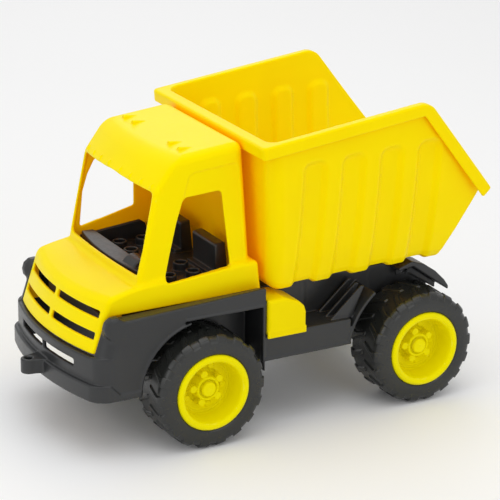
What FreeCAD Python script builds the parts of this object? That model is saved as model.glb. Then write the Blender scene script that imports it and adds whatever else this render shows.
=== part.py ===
import FreeCAD, Part
import Sketcher
import math
import os
from FreeCAD import Placement, Rotation, Vector

# Hand-size toy dump truck: a black chassis moulding, a yellow cab shell over a black seat tub,
# a yellow tipping bed and four moulded wheels on two steel axles.
# Frame: +X forward, +Y the truck's left side, +Z up, ground at Z = 0, symmetry plane Y = 0.
# Sizes may be numbers or short expressions over the aliases of the sheet.

# ---------------------------------------------------------------- driving dimensions
# alias, value or formula over earlier aliases, note
DIMENSIONS = [
    # wheels and axles
    ("tyre_rad", 35.0, "tyre radius over the lugs"),
    ("carcass_rad", 34.0, "tyre radius between the lugs"),
    ("axle_z", "tyre_rad", "axle height, equals tyre radius"),
    ("axle_front_x", 50.0, "front axle position"), ("axle_rear_x", -95.0, "rear axle position"),
    ("axle_rad", 2.5, "steel axle radius"), ("axle_half", 65.2, "half length of an axle"),
    ("hub_in", 44.3, "inner end of the wheel hub"),
    ("hub_out", 63.5, "outer end of the wheel hub"),
    ("run_gap", 0.06, "radial running clearance"),
    ("tyre_in", 41.2, "inner face of a tyre"), ("tyre_out", 72.2, "outer face of a tyre"),
    ("rim_seat", 21.4, "radius of the tyre seat on the rim"),
    ("bead_rad", 23.4, "outer radius of the rim bead"),
    ("bead_out", 73.2, "outer plane of the rim bead"),
    ("lug_count", 18.0, "lugs per side of a tyre"),
    ("lug_foot", 30.0, "distance of a lug's foot from the axle"),
    ("nut_count", 5.0, "wheel nuts"), ("nut_circle", 9.1, "radius of the wheel-nut circle"),
    ("nut_rad", 2.35, "wheel-nut radius"), ("cap_rad", 4.5, "centre cap radius"),
    ("cap_in", 63.8, "inner face of a centre cap"),
    ("cap_out", 66.4, "outer face of a centre cap"),
    # chassis
    ("skirt_half", 59.5, "half width over the fenders"),
    ("skin", 2.4, "wall of the chassis moulding"),
    ("skirt_z", 36.0, "lower edge of the fenders"),
    ("front_arc", 185.0, "plan radius of the front face"),
    ("nose_x", 125.4, "front of the bumper at the ridge"),
    ("band_x", 128.0, "front of the lower bumper band"),
    ("ridge_z", 46.5, "height of the bumper ridge"),
    ("nose_top", 62.0, "top of the bumper under the grille"),
    ("arch_rad", 40.2, "wheel arch radius"),
    ("arch_top", 76.8, "flat top of the front wheel opening"),
    ("fender_back", 11.0, "rear edge of the front wheel opening"),
    ("deck_top", 80.0, "top of the chassis deck"),
    ("frame_half", 38.0, "half width of the central frame"),
    ("frame_z", 44.0, "lower edge of the central frame"),
    ("frame_top", 81.2, "top of the frame under the bed"),
    ("sill_back", -50.0, "rear end of the side sill"),
    ("sill_z", 42.5, "lower edge of the side sill"), ("sill_top", 58.6, "top of the side sill"),
    ("guard_rad", 48.4, "outer radius of the rear mudguard"),
    ("guard_wall", 2.0, "wall of the rear mudguard"),
    ("tow_x", 139.2, "front of the tow eye"), ("tow_nose", 4.8, "radius of the tow-eye nose"),
    ("tow_eye_rad", 2.2, "radius of the tow-eye hole"),
    ("tow_top", 47.0, "top of the tow eye"), ("tow_z", 38.0, "bottom of the tow eye"),
    # cab
    ("cab_half", 47.0, "half width of the cab above the shoulder"),
    ("hood_half", 49.8, "half width of the hood"), ("cab_wall", 2.0, "wall of the cab shell"),
    ("roof_z", 176.0, "top of the roof at its rear edge"),
    ("cab_low", 84.4, "lower edge of the cab sides"),
    ("grille_low", 63.2, "lower edge of the grille"),
    ("cab_arc", 200.0, "plan radius of the windshield"),
    ("screw_rad", 1.25, "thread radius of a cab screw"),
    ("boss_rad", 3.6, "radius of a screw boss"),
    ("boss_front_x", 98.0, "front screw position"),
    ("boss_front_y", 41.5, "front screw half spacing"),
    ("boss_rear_x", 14.0, "rear screw position"),
    ("boss_rear_y", 41.5, "rear screw half spacing"),
    # interior tub
    ("floor_z", 92.4, "cab floor"), ("stud_top", 97.0, "top of the studs"),
    ("stud_rad", 4.6, "stud radius"), ("stud_bore", 3.3, "stud bore radius"),
    ("stud_pitch", 16.0, "stud pitch"), ("stud_x", 59.1, "front stud row"),
    ("stud_y", 16.6, "first stud column from the centre"),
    # bed
    ("bed_front", 12.0, "outside of the bed front wall at the top"),
    ("bed_wall", 2.0, "wall of the bed"),
    ("bed_rise", 0.028, "rise of the bed floor towards the rear, per millimetre"),
    ("rise_x", 5.0, "where the bed sections lie at their drawn height"),
    ("rim_half", 69.3, "half width over the bed rim"),
    ("channel_pitch", 26.0, "pitch of the side channels"),
    ("channel_width", 14.0, "width of a side channel"),
    ("channel_depth", 2.6, "depth of a side channel"),
    ("channel_x", -12.0, "front edge of the first channel"),
    ("pivot_x", -98.0, "hinge axis of the bed"), ("pivot_z", 76.0, "height of the hinge axis"),
    ("pin_rad", 2.5, "hinge pin radius"),
    ("lug_in", 27.0, "inner face of a bed lug"), ("lug_out", 33.0, "outer face of a bed lug"),
    # side tanks
    ("tank_rear_x", -18.0, "rear face of a side tank"),
    ("tank_front_x", 8.2, "front face of a side tank"),
    ("tank_top", 80.4, "top of a side tank"), ("tank_half", 61.0, "outer face of a side tank"),
]

NOSE_LEAN = 18.5  # degrees the bumper top and the grille lean back
NOSE_LEAN_Z = 63  # height at which that leaning face is placed

SIDES = (("l", 1), ("r", -1))  # left is +Y
AXLES = (("front", "axle_front_x"), ("rear", "axle_rear_x"))
THROUGH = (-100, 100)  # Y span of a bore right across the truck

# cab screws: tag, x, y
SCREWS = [
    ("fl", "boss_front_x", "boss_front_y"), ("fr", "boss_front_x", "-boss_front_y"),
    ("bl", "boss_rear_x", "boss_rear_y"), ("br", "boss_rear_x", "-boss_rear_y"),
]

doc = FreeCAD.newDocument("toy_dump_truck")
sizes = {}


# ---------------------------------------------------------------- expressions
def tokens(expression):
    """Split a short expression into names, numbers and operators."""
    found, word = [], ""
    for char in str(expression) + " ":
        if char.isalnum() or char in "_.":
            word += char
            continue
        if word:
            found.append(word)
            word = ""
        if not char.isspace():
            found.append(char)
    return found


def sheet_expression(expression):
    """Turn an expression over the aliases into one that reads the sheet."""
    return "".join("Dims." + word if word in sizes else word for word in tokens(expression))


def value_of(expression):
    """Number for the same expressions: + - * / and brackets."""
    words = tokens(expression)

    def atom():
        word = words.pop(0)
        if word == "(":
            value = total()
            words.pop(0)
            return value
        if word == "-":
            return -atom()
        return sizes[word] if word in sizes else float(word)

    def product():
        value = atom()
        while words and words[0] in ("*", "/"):
            if words.pop(0) == "*":
                value *= atom()
            else:
                value /= atom()
        return value

    def total():
        value = product()
        while words and words[0] in ("+", "-"):
            if words.pop(0) == "+":
                value += product()
            else:
                value -= product()
        return value

    return total()


def fill_sheet():
    sheet = doc.addObject("Spreadsheet::Sheet", "Dims")
    for row, (alias, value, note) in enumerate(DIMENSIONS, start=1):
        sheet.set("A%d" % row, note)
        sheet.set("B%d" % row, "=" + value if isinstance(value, str) else repr(value))
        sheet.setAlias("B%d" % row, alias)
        sizes[alias] = value_of(value)
    doc.recompute()


def bind(item, prop, expression):
    item.setExpression(prop, sheet_expression(expression))


def bind_base(item, x, y, z):
    bind(item, "Placement.Base.x", x)
    bind(item, "Placement.Base.y", y)
    bind(item, "Placement.Base.z", z)


def signed(sign, expression):
    return "(%s)" % expression if sign > 0 else "-(%s)" % expression


def across(half):
    """Span from -half to +half."""
    return "-(%s)" % half, half


def flank(sign, inner, outer):
    """Y span between two distances from the symmetry plane, on the left (1) or right (-1)."""
    return (inner, outer) if sign > 0 else (signed(-1, outer), signed(-1, inner))


# ---------------------------------------------------------------- solids and booleans
AXIS = {"x": Rotation(Vector(0, 1, 0), 90), "y": Rotation(Vector(1, 0, 0), -90), "z": Rotation()}

# sketch plane: its rotation, the axis it is pushed along, that direction
PLANES = {
    "XZ": (Rotation(Vector(1, 0, 0), 90), "y", Vector(0, 1, 0)),
    "XY": (Rotation(), "z", Vector(0, 0, 1)),
    "YZ": (Rotation(0.5, 0.5, 0.5, 0.5), "x", Vector(1, 0, 0)),
}


def box(name, x_span, y_span, z_span):
    item = doc.addObject("Part::Box", name)
    for prop, (low, high) in (("Length", x_span), ("Width", y_span), ("Height", z_span)):
        bind(item, prop, "(%s)-(%s)" % (high, low))
    bind_base(item, x_span[0], y_span[0], z_span[0])
    return item


def cylinder(name, radius, length, x, y, z, axis="z"):
    item = doc.addObject("Part::Cylinder", name)
    item.Placement = Placement(Vector(0, 0, 0), AXIS[axis])
    bind(item, "Radius", radius)
    bind(item, "Height", length)
    bind_base(item, x, y, z)
    return item


def cross_cylinder(name, radius, x, z, y_span):
    """Cylinder lying along Y."""
    low, high = y_span
    return cylinder(name, radius, "(%s)-(%s)" % (high, low), x, low, z, "y")


def leaning_cylinder(name, radius, x, z, lean):
    """Tall cylinder whose foremost line passes through (x, 0, z) and leans back by lean degrees."""
    item = doc.addObject("Part::Cylinder", name)
    item.Placement = Placement(Vector(0, 0, 0), Rotation(Vector(0, 1, 0), -lean))
    bind(item, "Radius", radius)
    bind(item, "Height", 600)
    sine, cosine = math.sin(math.radians(lean)), math.cos(math.radians(lean))
    # set back by the radius along the tilted normal, starting half the height below the point
    bind(item, "Placement.Base.x", "(%s)-(%s)*%.9f+300*%.9f" % (x, radius, cosine, sine))
    bind(item, "Placement.Base.z", "(%s)-(%s)*%.9f-300*%.9f" % (z, radius, sine, cosine))
    return item


def gather(kind, name, items):
    item = doc.addObject(kind, name)
    item.Shapes = list(items)
    item.Refine = True
    return item


def fuse(name, *items):
    return gather("Part::MultiFuse", name, items)


def common(name, *items):
    return gather("Part::MultiCommon", name, items)


def cut(name, base, *tools):
    tool = tools[0] if len(tools) == 1 else fuse(name + "_tools", *tools)
    item = doc.addObject("Part::Cut", name)
    item.Base, item.Tool = base, tool
    item.Refine = True
    return item


def mirror(name, source):
    """Copy of the source on the other side of the plane Y = 0."""
    item = doc.addObject("Part::Mirroring", name)
    item.Source = source
    item.Normal = Vector(0, 1, 0)
    item.Base = Vector(0, 0, 0)
    return item


def dimension(sketch, kind, label, references, expression):
    """Named sketch constraint, bound to the sheet when its expression names an alias."""
    index = sketch.addConstraint(Sketcher.Constraint(kind, *references, value_of(expression)))
    sketch.renameConstraint(index, label)
    if any(char.isalpha() for char in str(expression)):
        bind(sketch, "Constraints." + label, expression)


def draw_polygon(sketch, points):
    """Closed polygon with every corner dimensioned from the sketch origin."""
    corners = [Vector(value_of(u), value_of(v), 0) for u, v in points]
    count = len(corners)
    for i in range(count):
        sketch.addGeometry(Part.LineSegment(corners[i], corners[(i + 1) % count]), False)
    for i in range(count):
        sketch.addConstraint(Sketcher.Constraint("Coincident", i, 2, (i + 1) % count, 1))
    for i, (u, v) in enumerate(points):
        dimension(sketch, "DistanceX", "px%d" % i, (-1, 1, i, 1), u)
        dimension(sketch, "DistanceY", "py%d" % i, (-1, 1, i, 1), v)


def prism(name, plane, points, span, rising=False):
    """Polygon in the XZ, YZ or XY plane, pushed out over a span of the third axis."""
    rotation, axis, direction = PLANES[plane]
    low, high = span
    sketch = doc.addObject("Sketcher::SketchObject", name + "_sk")
    sketch.Placement = Placement(Vector(0, 0, 0), rotation)
    draw_polygon(sketch, points)
    item = doc.addObject("Part::Extrusion", name)
    item.Base = sketch
    item.DirMode = "Custom"
    item.Dir = direction
    item.Solid = True
    bind(item, "LengthFwd", "(%s)-(%s)" % (high, low))
    bind(sketch, "Placement.Base." + axis, low)
    if rising:
        # the section starts high at its rear end and is pushed forward down the slope
        item.Dir = Vector(1, 0, -sizes["bed_rise"])
        bind(sketch, "Placement.Base.z", "bed_rise*(rise_x-(%s))" % low)
    return item


# ---------------------------------------------------------------- fillets
def fillet(name, base, pick, radius):
    """Round the edges chosen by pick(edge)."""
    doc.recompute()
    chosen = [i for i, edge in enumerate(base.Shape.Edges, start=1) if pick(edge)]
    item = doc.addObject("Part::Fillet", name)
    item.Base = base
    item.Edges = [(i, value_of(radius), value_of(radius)) for i in chosen]
    doc.recompute()
    if not chosen or item.Shape.isNull() or not item.Shape.isValid():
        raise RuntimeError("fillet %s failed on %s" % (name, chosen))
    return item


def middle(edge):
    return edge.valueAt((edge.FirstParameter + edge.LastParameter) / 2.0)


def is_upright(edge):
    bounds = edge.BoundBox
    return bounds.ZLength > 3 and bounds.XLength < 0.01 and bounds.YLength < 0.01


# ---------------------------------------------------------------- chassis
# side outlines, (x, z)
FENDER_LINE = [
    ("fender_back-4", 30), ("nose_x+6", 30), ("nose_x+6", 82.6), (103, 83.7),
    ("fender_back", 88.6), ("fender_back-4", 88.8),
]
FRAME_PROFILE = [
    (-112, 52), (-84, "frame_z"), (104, "frame_z"), (104, "deck_top"),
    ("fender_back", "deck_top"), ("fender_back-6", "frame_top"), (-96, "frame_top"),
    (-104, 77.4), (-117, 67.6), (-117, 56),
]
GUARD_SECTOR = [
    ("axle_rear_x", "axle_z"), ("axle_rear_x+60", "axle_z+12.0"),
    ("axle_rear_x+60", "axle_z+60"), ("axle_rear_x+46", "axle_z+60"),
]
GUSSET = [
    (-37, "sill_top-1"), ("axle_rear_x+43.5", "sill_top-1"),
    ("axle_rear_x+37.5", 74.2), (-56, 74.6),
]
GUSSET_INNER = (40.2, 48.4, 54.6)  # inner faces of the gussets, from the centre
GUSSET_WALL = 1.6
WING = [
    (-90, 82.6), (-97.4, 84.4), (-106, 81.4), (-114.6, 75.4), (-121.2, 68.8),
    (-124.2, 64.4), (-124.4, 61.6), (-98, 81.0), (-90, 79.6),
]
WING_RIB = [(-92, 80.6), (-92, 73.4), (-101, 73.0), (-120.5, 60.4), (-120.5, 65.6), (-98, 82.0)]


def front_cylinder(name, radius):
    """Upright cylinder about the centre of the front face's plan arc."""
    return cylinder(name, radius, 200, "nose_x-front_arc", 0, -20)


def leaning_face(name, inset):
    """Leaning front face shared by the bumper top and the grille, set in by a wall."""
    x = "nose_x-2-1.05*(%s)" % inset  # the factor allows for the lean
    return leaning_cylinder(name, "front_arc-(%s)" % inset, x, NOSE_LEAN_Z, NOSE_LEAN)


def skirt_outside():
    block = common("skirt_block",
                   box("skirt_box", ("fender_back-2.2", "nose_x+3"), across("skirt_half"),
                       ("skirt_z", 91)),
                   front_cylinder("skirt_arc", "front_arc"))
    block = fillet("skirt_round", block, lambda e: is_upright(e) and middle(e).x > 90, 8)
    # the top of the fenders rises towards the rear
    line = prism("fender_line", "XZ", FENDER_LINE, across("skirt_half+1"))
    return common("skirt_solid", block, line)


def skirt_inside():
    hollow = common("skirt_void",
                    box("void_box", ("fender_back+0.2", "nose_x"), across("skirt_half-skin"),
                        ("skirt_z-2", "deck_top-3.2")),
                    front_cylinder("void_arc", "front_arc-skin"))
    # the hollow of the nose leans back with its face, so the wall keeps its thickness
    lean = cut("void_lean",
               box("void_lean_box", (98, "nose_x+6"), across("skirt_half+4"),
                   ("nose_top-2.4", 95)),
               leaning_face("void_lean_face", "skin"))
    return cut("skirt_void_nose", hollow, lean)


def skirt_shell():
    """Hollow fenders and nose, open above for the cab."""
    outside, inside = skirt_outside(), skirt_inside()
    well_width = across("hood_half+0.4")
    cab_well = box("cab_well", ("fender_back-4", "nose_x+6"), well_width, ("deck_top", 95))
    nose_well = box("nose_well", (98, "nose_x+6"), well_width, ("nose_top", 95))
    ledge = prism("ledge_slope", "YZ",
                  [("hood_half", 83.2), ("skirt_half+0.01", 83.9), ("skirt_half+3", 92),
                   ("hood_half", 92)], (97, "nose_x+6"))
    slot_left = common("bumper_slot_l",
                       box("bumper_slot_box", ("nose_x-20", "nose_x+6"), (0.9, 35), (52.3, 56.6)),
                       front_cylinder("bumper_slot_arc", "front_arc+6"))
    slot_right = mirror("bumper_slot_r", slot_left)
    nose_lean = cut("nose_lean",
                    box("nose_lean_box", (98, "nose_x+6"), across("skirt_half+4"),
                        ("nose_top", 95)),
                    leaning_face("nose_lean_face", 0))
    return cut("skirt_shell", outside, inside, cab_well, nose_well, ledge,
               slot_left, slot_right, nose_lean)


def bumper_band():
    """Lower bumper band, standing proud below the ridge, open inside."""
    band = common("band_block",
                  box("band_box", (90, "band_x+2"), across("skirt_half+0.9"),
                      ("skirt_z", "ridge_z-0.6")),
                  front_cylinder("band_arc", "front_arc+band_x-nose_x"))
    band = fillet("band_round", band, lambda e: is_upright(e) and middle(e).x > 100, 9)
    hollow = common("band_void",
                    box("band_void_box", (80, "nose_x"), across("skirt_half-skin"),
                        ("skirt_z-2", "ridge_z")),
                    front_cylinder("band_void_arc", "front_arc-skin"))
    side = prism("band_side", "XZ",
                 [(80, 40.2), (104, 40.2), (110, "ridge_z"), (110, 60), (80, 60)],
                 across("skirt_half+4"))
    return cut("band_ring", band, hollow, side)


def tow_eye():
    bar = prism("tow_bar", "XY",
                [("band_x-6", -7.4), ("tow_x-tow_nose", "-tow_nose"),
                 ("tow_x-tow_nose", "tow_nose"), ("band_x-6", 7.4)], ("tow_z", "tow_top"))
    tip = cylinder("tow_nose_round", "tow_nose", "tow_top-tow_z", "tow_x-tow_nose", 0, "tow_z")
    return fuse("tow_lug", bar, tip)


def frame_channel():
    """Central frame: a channel with a deck over the front, open over the hinge."""
    inside = across("frame_half-skin")
    return cut("frame_channel",
               prism("frame_profile", "XZ", FRAME_PROFILE, across("frame_half")),
               box("frame_void", (-114, 101.5), inside, ("frame_z-9", "deck_top-3.2")),
               box("frame_hatch", (-114, -78), inside, (60, 90)))


def cross_ribs():
    width = across("frame_half")
    return [
        box("rib_a", (8.4, "fender_back"), across("skirt_half"), ("sill_z", "deck_top")),
        box("rib_b", (-30, -28), width, ("frame_z", 79)),
        box("rib_c", (-76, -74), width, ("frame_z", 79)),
    ]


def axle_supports():
    """Bearing blocks and spacer tubes, and the spacer tubes alone."""
    supports, spacers = [], []
    for name, x in AXLES:
        for tag, sign in SIDES:
            supports.append(box("bearing_%s_%s" % (name, tag), (x + "-8", x + "+8"),
                                flank(sign, "frame_half-5", "frame_half"),
                                ("axle_z-7", "frame_z+4")))
        spacer = cross_cylinder("spacer_" + name, 6.2, x, "axle_z", across("hub_in-0.3"))
        supports.append(spacer)
        spacers.append(spacer)
    return supports, spacers


def sill(tag, sign):
    """Side sill, hollow from below, with a lip along its lower edge."""
    outside = box("sill_" + tag, ("sill_back", "fender_back-1"),
                  flank(sign, "frame_half-1", "skirt_half"), ("sill_z", "sill_top"))
    hollow = box("sill_void_" + tag, ("sill_back+2", "fender_back-2.6"),
                 flank(sign, "frame_half", "skirt_half-2"), ("sill_z-2", "sill_top-2"))
    lip = box("sill_lip_" + tag, ("sill_back", "fender_back"),
              flank(sign, "skirt_half-1", "skirt_half+0.8"), ("sill_z", "sill_z+1.8"))
    return [cut("sill_shell_" + tag, outside, hollow), lip]


def mudguard(tag, sign):
    """Curved strip ahead of a rear wheel with gussets, and a sloping wing above and behind it."""
    outside = cross_cylinder("guard_o_" + tag, "guard_rad", "axle_rear_x", "axle_z",
                             flank(sign, "frame_half-1", "skirt_half+0.5"))
    inside = cross_cylinder("guard_i_" + tag, "guard_rad-guard_wall", "axle_rear_x", "axle_z",
                            flank(sign, "frame_half-3", "skirt_half+2.5"))
    sector = prism("guard_k_" + tag, "XZ", GUARD_SECTOR, across("skirt_half+3"))
    parts = [common("guard_" + tag, cut("guard_ring_" + tag, outside, inside), sector)]
    for i, y in enumerate(GUSSET_INNER, start=1):
        parts.append(prism("gusset_%s%d" % (tag, i), "XZ", GUSSET,
                           flank(sign, y, y + GUSSET_WALL)))
    parts.append(prism("wing_" + tag, "XZ", WING, flank(sign, "frame_half-1", 51.5)))
    parts.append(prism("wing_rib_" + tag, "XZ", WING_RIB, flank(sign, 40.4, 42.2)))
    return parts


def wheel_opening(tag, sign):
    """Front wheel opening: round ahead of the axle, square behind it."""
    width = flank(sign, "frame_half", "skirt_half+6")
    return [
        cross_cylinder("well_" + tag, "arch_rad", "axle_front_x", "axle_z", width),
        box("well_back_" + tag, ("fender_back", "axle_front_x+12"), width, (20, "arch_top")),
        box("well_low_" + tag, ("axle_front_x", "axle_front_x+arch_rad"), width, (20, "axle_z")),
    ]


def arch_lip(tag, sign):
    """Thin bead round a front wheel opening."""
    width = flank(sign, "skirt_half-2.4", "skirt_half+0.6")
    outside = cross_cylinder("lip_o_" + tag, "arch_rad+1.5", "axle_front_x", "axle_z", width)
    inside = cross_cylinder("lip_i_" + tag, "arch_rad", "axle_front_x", "axle_z",
                            flank(sign, "skirt_half-5.4", "skirt_half+3.6"))
    keep = box("lip_k_" + tag, ("axle_front_x+8.2", "axle_front_x+60"), (-90, 90),
               ("axle_z+1.2", 100))
    return [
        common("lip_" + tag, cut("lip_r_" + tag, outside, inside), keep),
        box("lip_top_" + tag, ("fender_back-1.4", "axle_front_x+12"), width,
            ("arch_top", "arch_top+1.5")),
        box("lip_back_" + tag, ("fender_back-1.4", "fender_back"), width,
            ("sill_z", "arch_top+1.5")),
    ]


def both_sides(build):
    """Parts of build(tag, sign) for the left, then the right."""
    return [part for tag, sign in SIDES for part in build(tag, sign)]


def chassis_holes():
    holes = [cross_cylinder("axle_hole_" + name, "axle_rad", x, "axle_z", THROUGH)
             for name, x in AXLES]
    holes.append(cross_cylinder("pin_hole", "pin_rad", "pivot_x", "pivot_z", THROUGH))
    holes.append(cylinder("tow_hole", "tow_eye_rad", 40, "tow_x-tow_nose", 0, 20))
    for tag, x, y in SCREWS:
        holes.append(cylinder("screw_hole_" + tag, "screw_rad+0.35", 20, x, y, 70))
    return holes


def make_chassis():
    front = fuse("front_shell", skirt_shell(), bumper_band(), tow_eye())
    supports, spacers = axle_supports()
    body = fuse("chassis_body", front, frame_channel(), *cross_ribs(), *supports,
                *both_sides(sill), *both_sides(mudguard))
    gaps = [box("spacer_gap_" + name, (x + "-9", x + "+9"), across("frame_half-5"),
                ("axle_z-9", 60)) for name, x in AXLES]
    body = cut("chassis_open", body, *both_sides(wheel_opening), *gaps)
    # the openings and gaps cut through the spacer tubes, so these are added again
    body = fuse("chassis_lips", body, *spacers, *both_sides(arch_lip))
    cut("chassis", body, *chassis_holes()).Label = "chassis"


# ---------------------------------------------------------------- turned bodies
def origin_feature(body, role):
    return [item for item in body.Origin.OriginFeatures if item.Role == role][0]


def attached_sketch(body, name, role):
    sketch = body.newObject("Sketcher::SketchObject", name)
    sketch.AttachmentSupport = [(origin_feature(body, role), "")]
    sketch.MapMode = "FlatFace"
    return sketch


def turned(name, profile):
    """Body turned about its Y axis from a profile of (radius, position along Y)."""
    body = doc.addObject("PartDesign::Body", name)
    sketch = attached_sketch(body, name + "_profile", "XY_Plane")
    draw_polygon(sketch, profile)
    revolution = body.newObject("PartDesign::Revolution", name + "_turned")
    revolution.Profile = sketch
    revolution.ReferenceAxis = (sketch, ["V_Axis"])
    revolution.Angle = 360
    body.Label = name
    return body


def repeat_round(body, name, feature, count):
    """Repeat a feature evenly round the body's Y axis."""
    pattern = body.newObject("PartDesign::PolarPattern", name)
    pattern.Originals = [feature]
    pattern.Axis = (origin_feature(body, "Y_Axis"), [""])
    pattern.Angle = 360
    bind(pattern, "Occurrences", count)
    body.Tip = pattern


def make_rod(name, radius, half, x, z):
    """Round rod along Y with chamfered ends."""
    body = turned(name, [
        (0, "-(%s)" % half), (radius + "-0.5", "-(%s)" % half), (radius, "0.5-(%s)" % half),
        (radius, half + "-0.5"), (radius + "-0.5", half), (0, half)])
    bind(body, "Placement.Base.x", x)
    bind(body, "Placement.Base.z", z)


# ---------------------------------------------------------------- wheels
# profiles of a left wheel, (radius, y)
RIM_PROFILE = [
    ("axle_rad+run_gap", "hub_in"), (7.0, "hub_in"), (7.6, 56), (19.0, 56),
    (19.4, "hub_in+0.4"), ("rim_seat", "hub_in+0.4"), ("rim_seat", "bead_out-3.4"),
    ("bead_rad", "bead_out-3.4"), ("bead_rad", "bead_out-1.9"),
    ("bead_rad-0.6", "bead_out-0.8"), ("bead_rad-1.6", "bead_out-0.1"),
    ("bead_rad-2.4", "bead_out"), ("bead_rad-3.5", "bead_out-0.3"),
    ("bead_rad-4.4", "bead_out-1.2"), ("bead_rad-4.8", "bead_out-2.4"),
    (17.3, 60.6), (16.6, 59.6), (16.6, 58.9), (15.6, 58.9), (15.6, 58.3),
    (10.8, 58.3), (10.8, 57.4), (8.6, 57.4), (8.2, 58.4), (7.4, 64.4), (6.9, 65.0),
    (6.1, 65.0), (5.6, 64.4), (5.4, "hub_out"), ("axle_rad+run_gap", "hub_out"),
]
# hollow moulded tyre: the channel inside is closed by the rim
TYRE_PROFILE = [
    ("rim_seat", "hub_in+0.6"), ("rim_seat", 50), (25, 50), (29.2, 52), (30.2, 56),
    (30.2, 60), (29.2, 64), (25, 66), ("rim_seat", 66), ("rim_seat", "bead_out-3.5"),
    ("bead_rad+0.1", "bead_out-3.4"), ("bead_rad+0.2", "tyre_out-0.9"),
    ("bead_rad+0.9", "tyre_out-0.2"), (27, "tyre_out"), (30.4, "tyre_out-0.5"),
    (31.6, "tyre_out-1.4"), ("carcass_rad-0.3", "tyre_out-3.4"),
    ("carcass_rad", "tyre_out-6"), ("carcass_rad", "tyre_in+6"),
    ("carcass_rad-0.3", "tyre_in+3.4"), (31.6, "tyre_in+1.4"), (30.4, "tyre_in+0.5"),
    (27, "tyre_in"), ("bead_rad", "tyre_in"),
]
CAP_PROFILE = [
    (0, "cap_out-1.0"), ("axle_rad", "cap_out-1.0"), ("axle_rad", "cap_in"),
    ("cap_rad", "cap_in"), ("cap_rad", "cap_out-0.6"), ("cap_rad-0.5", "cap_out"),
    (0, "cap_out+0.2"),
]
# slanting tread lugs seen along the radius, (x, y): outer row, inner row
LUG_OUTLINES = [
    [(-1.5, 70.6), (1.5, 70.6), (4.7, 56.4), (2.3, 56.4)],
    [(-1.5, 42.8), (2.3, 57.4), (4.7, 57.4), (1.5, 42.8)],
]


def boss_ring(body, name, radius, circle, y_span, spin):
    """Ring of round bosses along Y, one per wheel nut, the first turned by spin degrees."""
    low, high = y_span
    sketch = attached_sketch(body, name + "_sk", "XZ_Plane")
    # the plane's normal is -Y, so a negative offset runs outwards
    sketch.AttachmentOffset = Placement(Vector(0, 0, -value_of(high)), Rotation())
    bind(sketch, "AttachmentOffset.Base.z", "-(%s)" % high)
    angle = math.radians(spin)
    x = value_of(circle) * math.cos(angle)
    z = value_of(circle) * math.sin(angle)
    sketch.addGeometry(Part.Circle(Vector(x, z, 0), Vector(0, 0, 1), value_of(radius)), False)
    dimension(sketch, "Radius", "crad", (0,), radius)
    dimension(sketch, "DistanceX", "ccx", (-1, 1, 0, 3), "(%s)*%.9f" % (circle, math.cos(angle)))
    dimension(sketch, "DistanceY", "ccz", (-1, 1, 0, 3), "(%s)*%.9f" % (circle, math.sin(angle)))
    pad = body.newObject("PartDesign::Pad", name)
    pad.Profile = sketch
    bind(pad, "Length", "(%s)-(%s)" % (high, low))
    repeat_round(body, name + "_ring", pad, "nut_count")


def make_rim(name):
    body = turned(name, RIM_PROFILE)
    boss_ring(body, name + "_nut", "nut_rad", "nut_circle", (57.6, 64.2), spin=5.0)
    boss_ring(body, name + "_stud", 2.0, 12.6, (57.2, 59.3), spin=41.0)
    return body


def make_tyre(name):
    body = turned(name, TYRE_PROFILE)
    for i, outline in enumerate(LUG_OUTLINES):
        sketch = attached_sketch(body, "%s_lug%d_sk" % (name, i), "XY_Plane")
        # the inner row is staggered by half a pitch
        spin = Rotation(Vector(0, 1, 0), i * 180.0 / sizes["lug_count"])
        foot = spin.multVec(Vector(0, 0, sizes["lug_foot"]))
        sketch.AttachmentOffset = Placement(foot, spin)
        draw_polygon(sketch, outline)
        pad = body.newObject("PartDesign::Pad", "%s_lug%d" % (name, i))
        pad.Profile = sketch
        # the top is flat: stopping 0.32 short lets its far corners reach the tyre radius
        bind(pad, "Length", "tyre_rad-lug_foot-0.32")
        repeat_round(body, "%s_lugs%d" % (name, i), pad, "lug_count")
    return body


def make_cap(name):
    return turned(name, CAP_PROFILE)


def make_wheels():
    """Rim, tyre and cap of each wheel; returns their names."""
    names = []
    for axle, x in AXLES:
        for side, turn in (("left", 0), ("right", 180)):
            for kind, build in (("rim", make_rim), ("tyre", make_tyre), ("hub_cap", make_cap)):
                name = "%s_%s_%s" % (kind, axle, side)
                body = build(name)
                body.Placement = Placement(Vector(0, 0, 0), Rotation(Vector(0, 0, 1), turn))
                bind(body, "Placement.Base.x", x)
                bind(body, "Placement.Base.z", "axle_z")
                names.append(name)
    return names


# ---------------------------------------------------------------- cab shell
# side windows, (x, z)
WINDOW_LEFT = [
    (69.4, 97.6), (65.0, 118), (61.4, 133), (57.6, 144.6), (55.4, 147),
    (34.0, 148.2), (32.2, 146.6), (26.2, 101.2),
]
WINDOW_RIGHT = [
    (79.2, 105.0), (77.0, 127.0), (73.6, 137.6), (69.4, 145.4), (67.0, 147.6),
    (44.8, 148.2), (43.0, 146.4), (43.0, 113.4),
]
# windshield opening, (y, z)
WINDSHIELD = [(-40.7, 106.4), (40.7, 106.4), (45.2, 152.6), (0, 154.0), (-45.2, 152.6)]
GRILLE_SLOTS = [(82.6, 87.0, 45), (70.4, 74.8, 46)]  # bottom, top, half width
HORN_Y = (-35.4, -23.2, 23.2, 35.4)
BOSS_HEIGHT = {"f": 15.2, "b": 18}  # front and rear screw bosses


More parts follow.
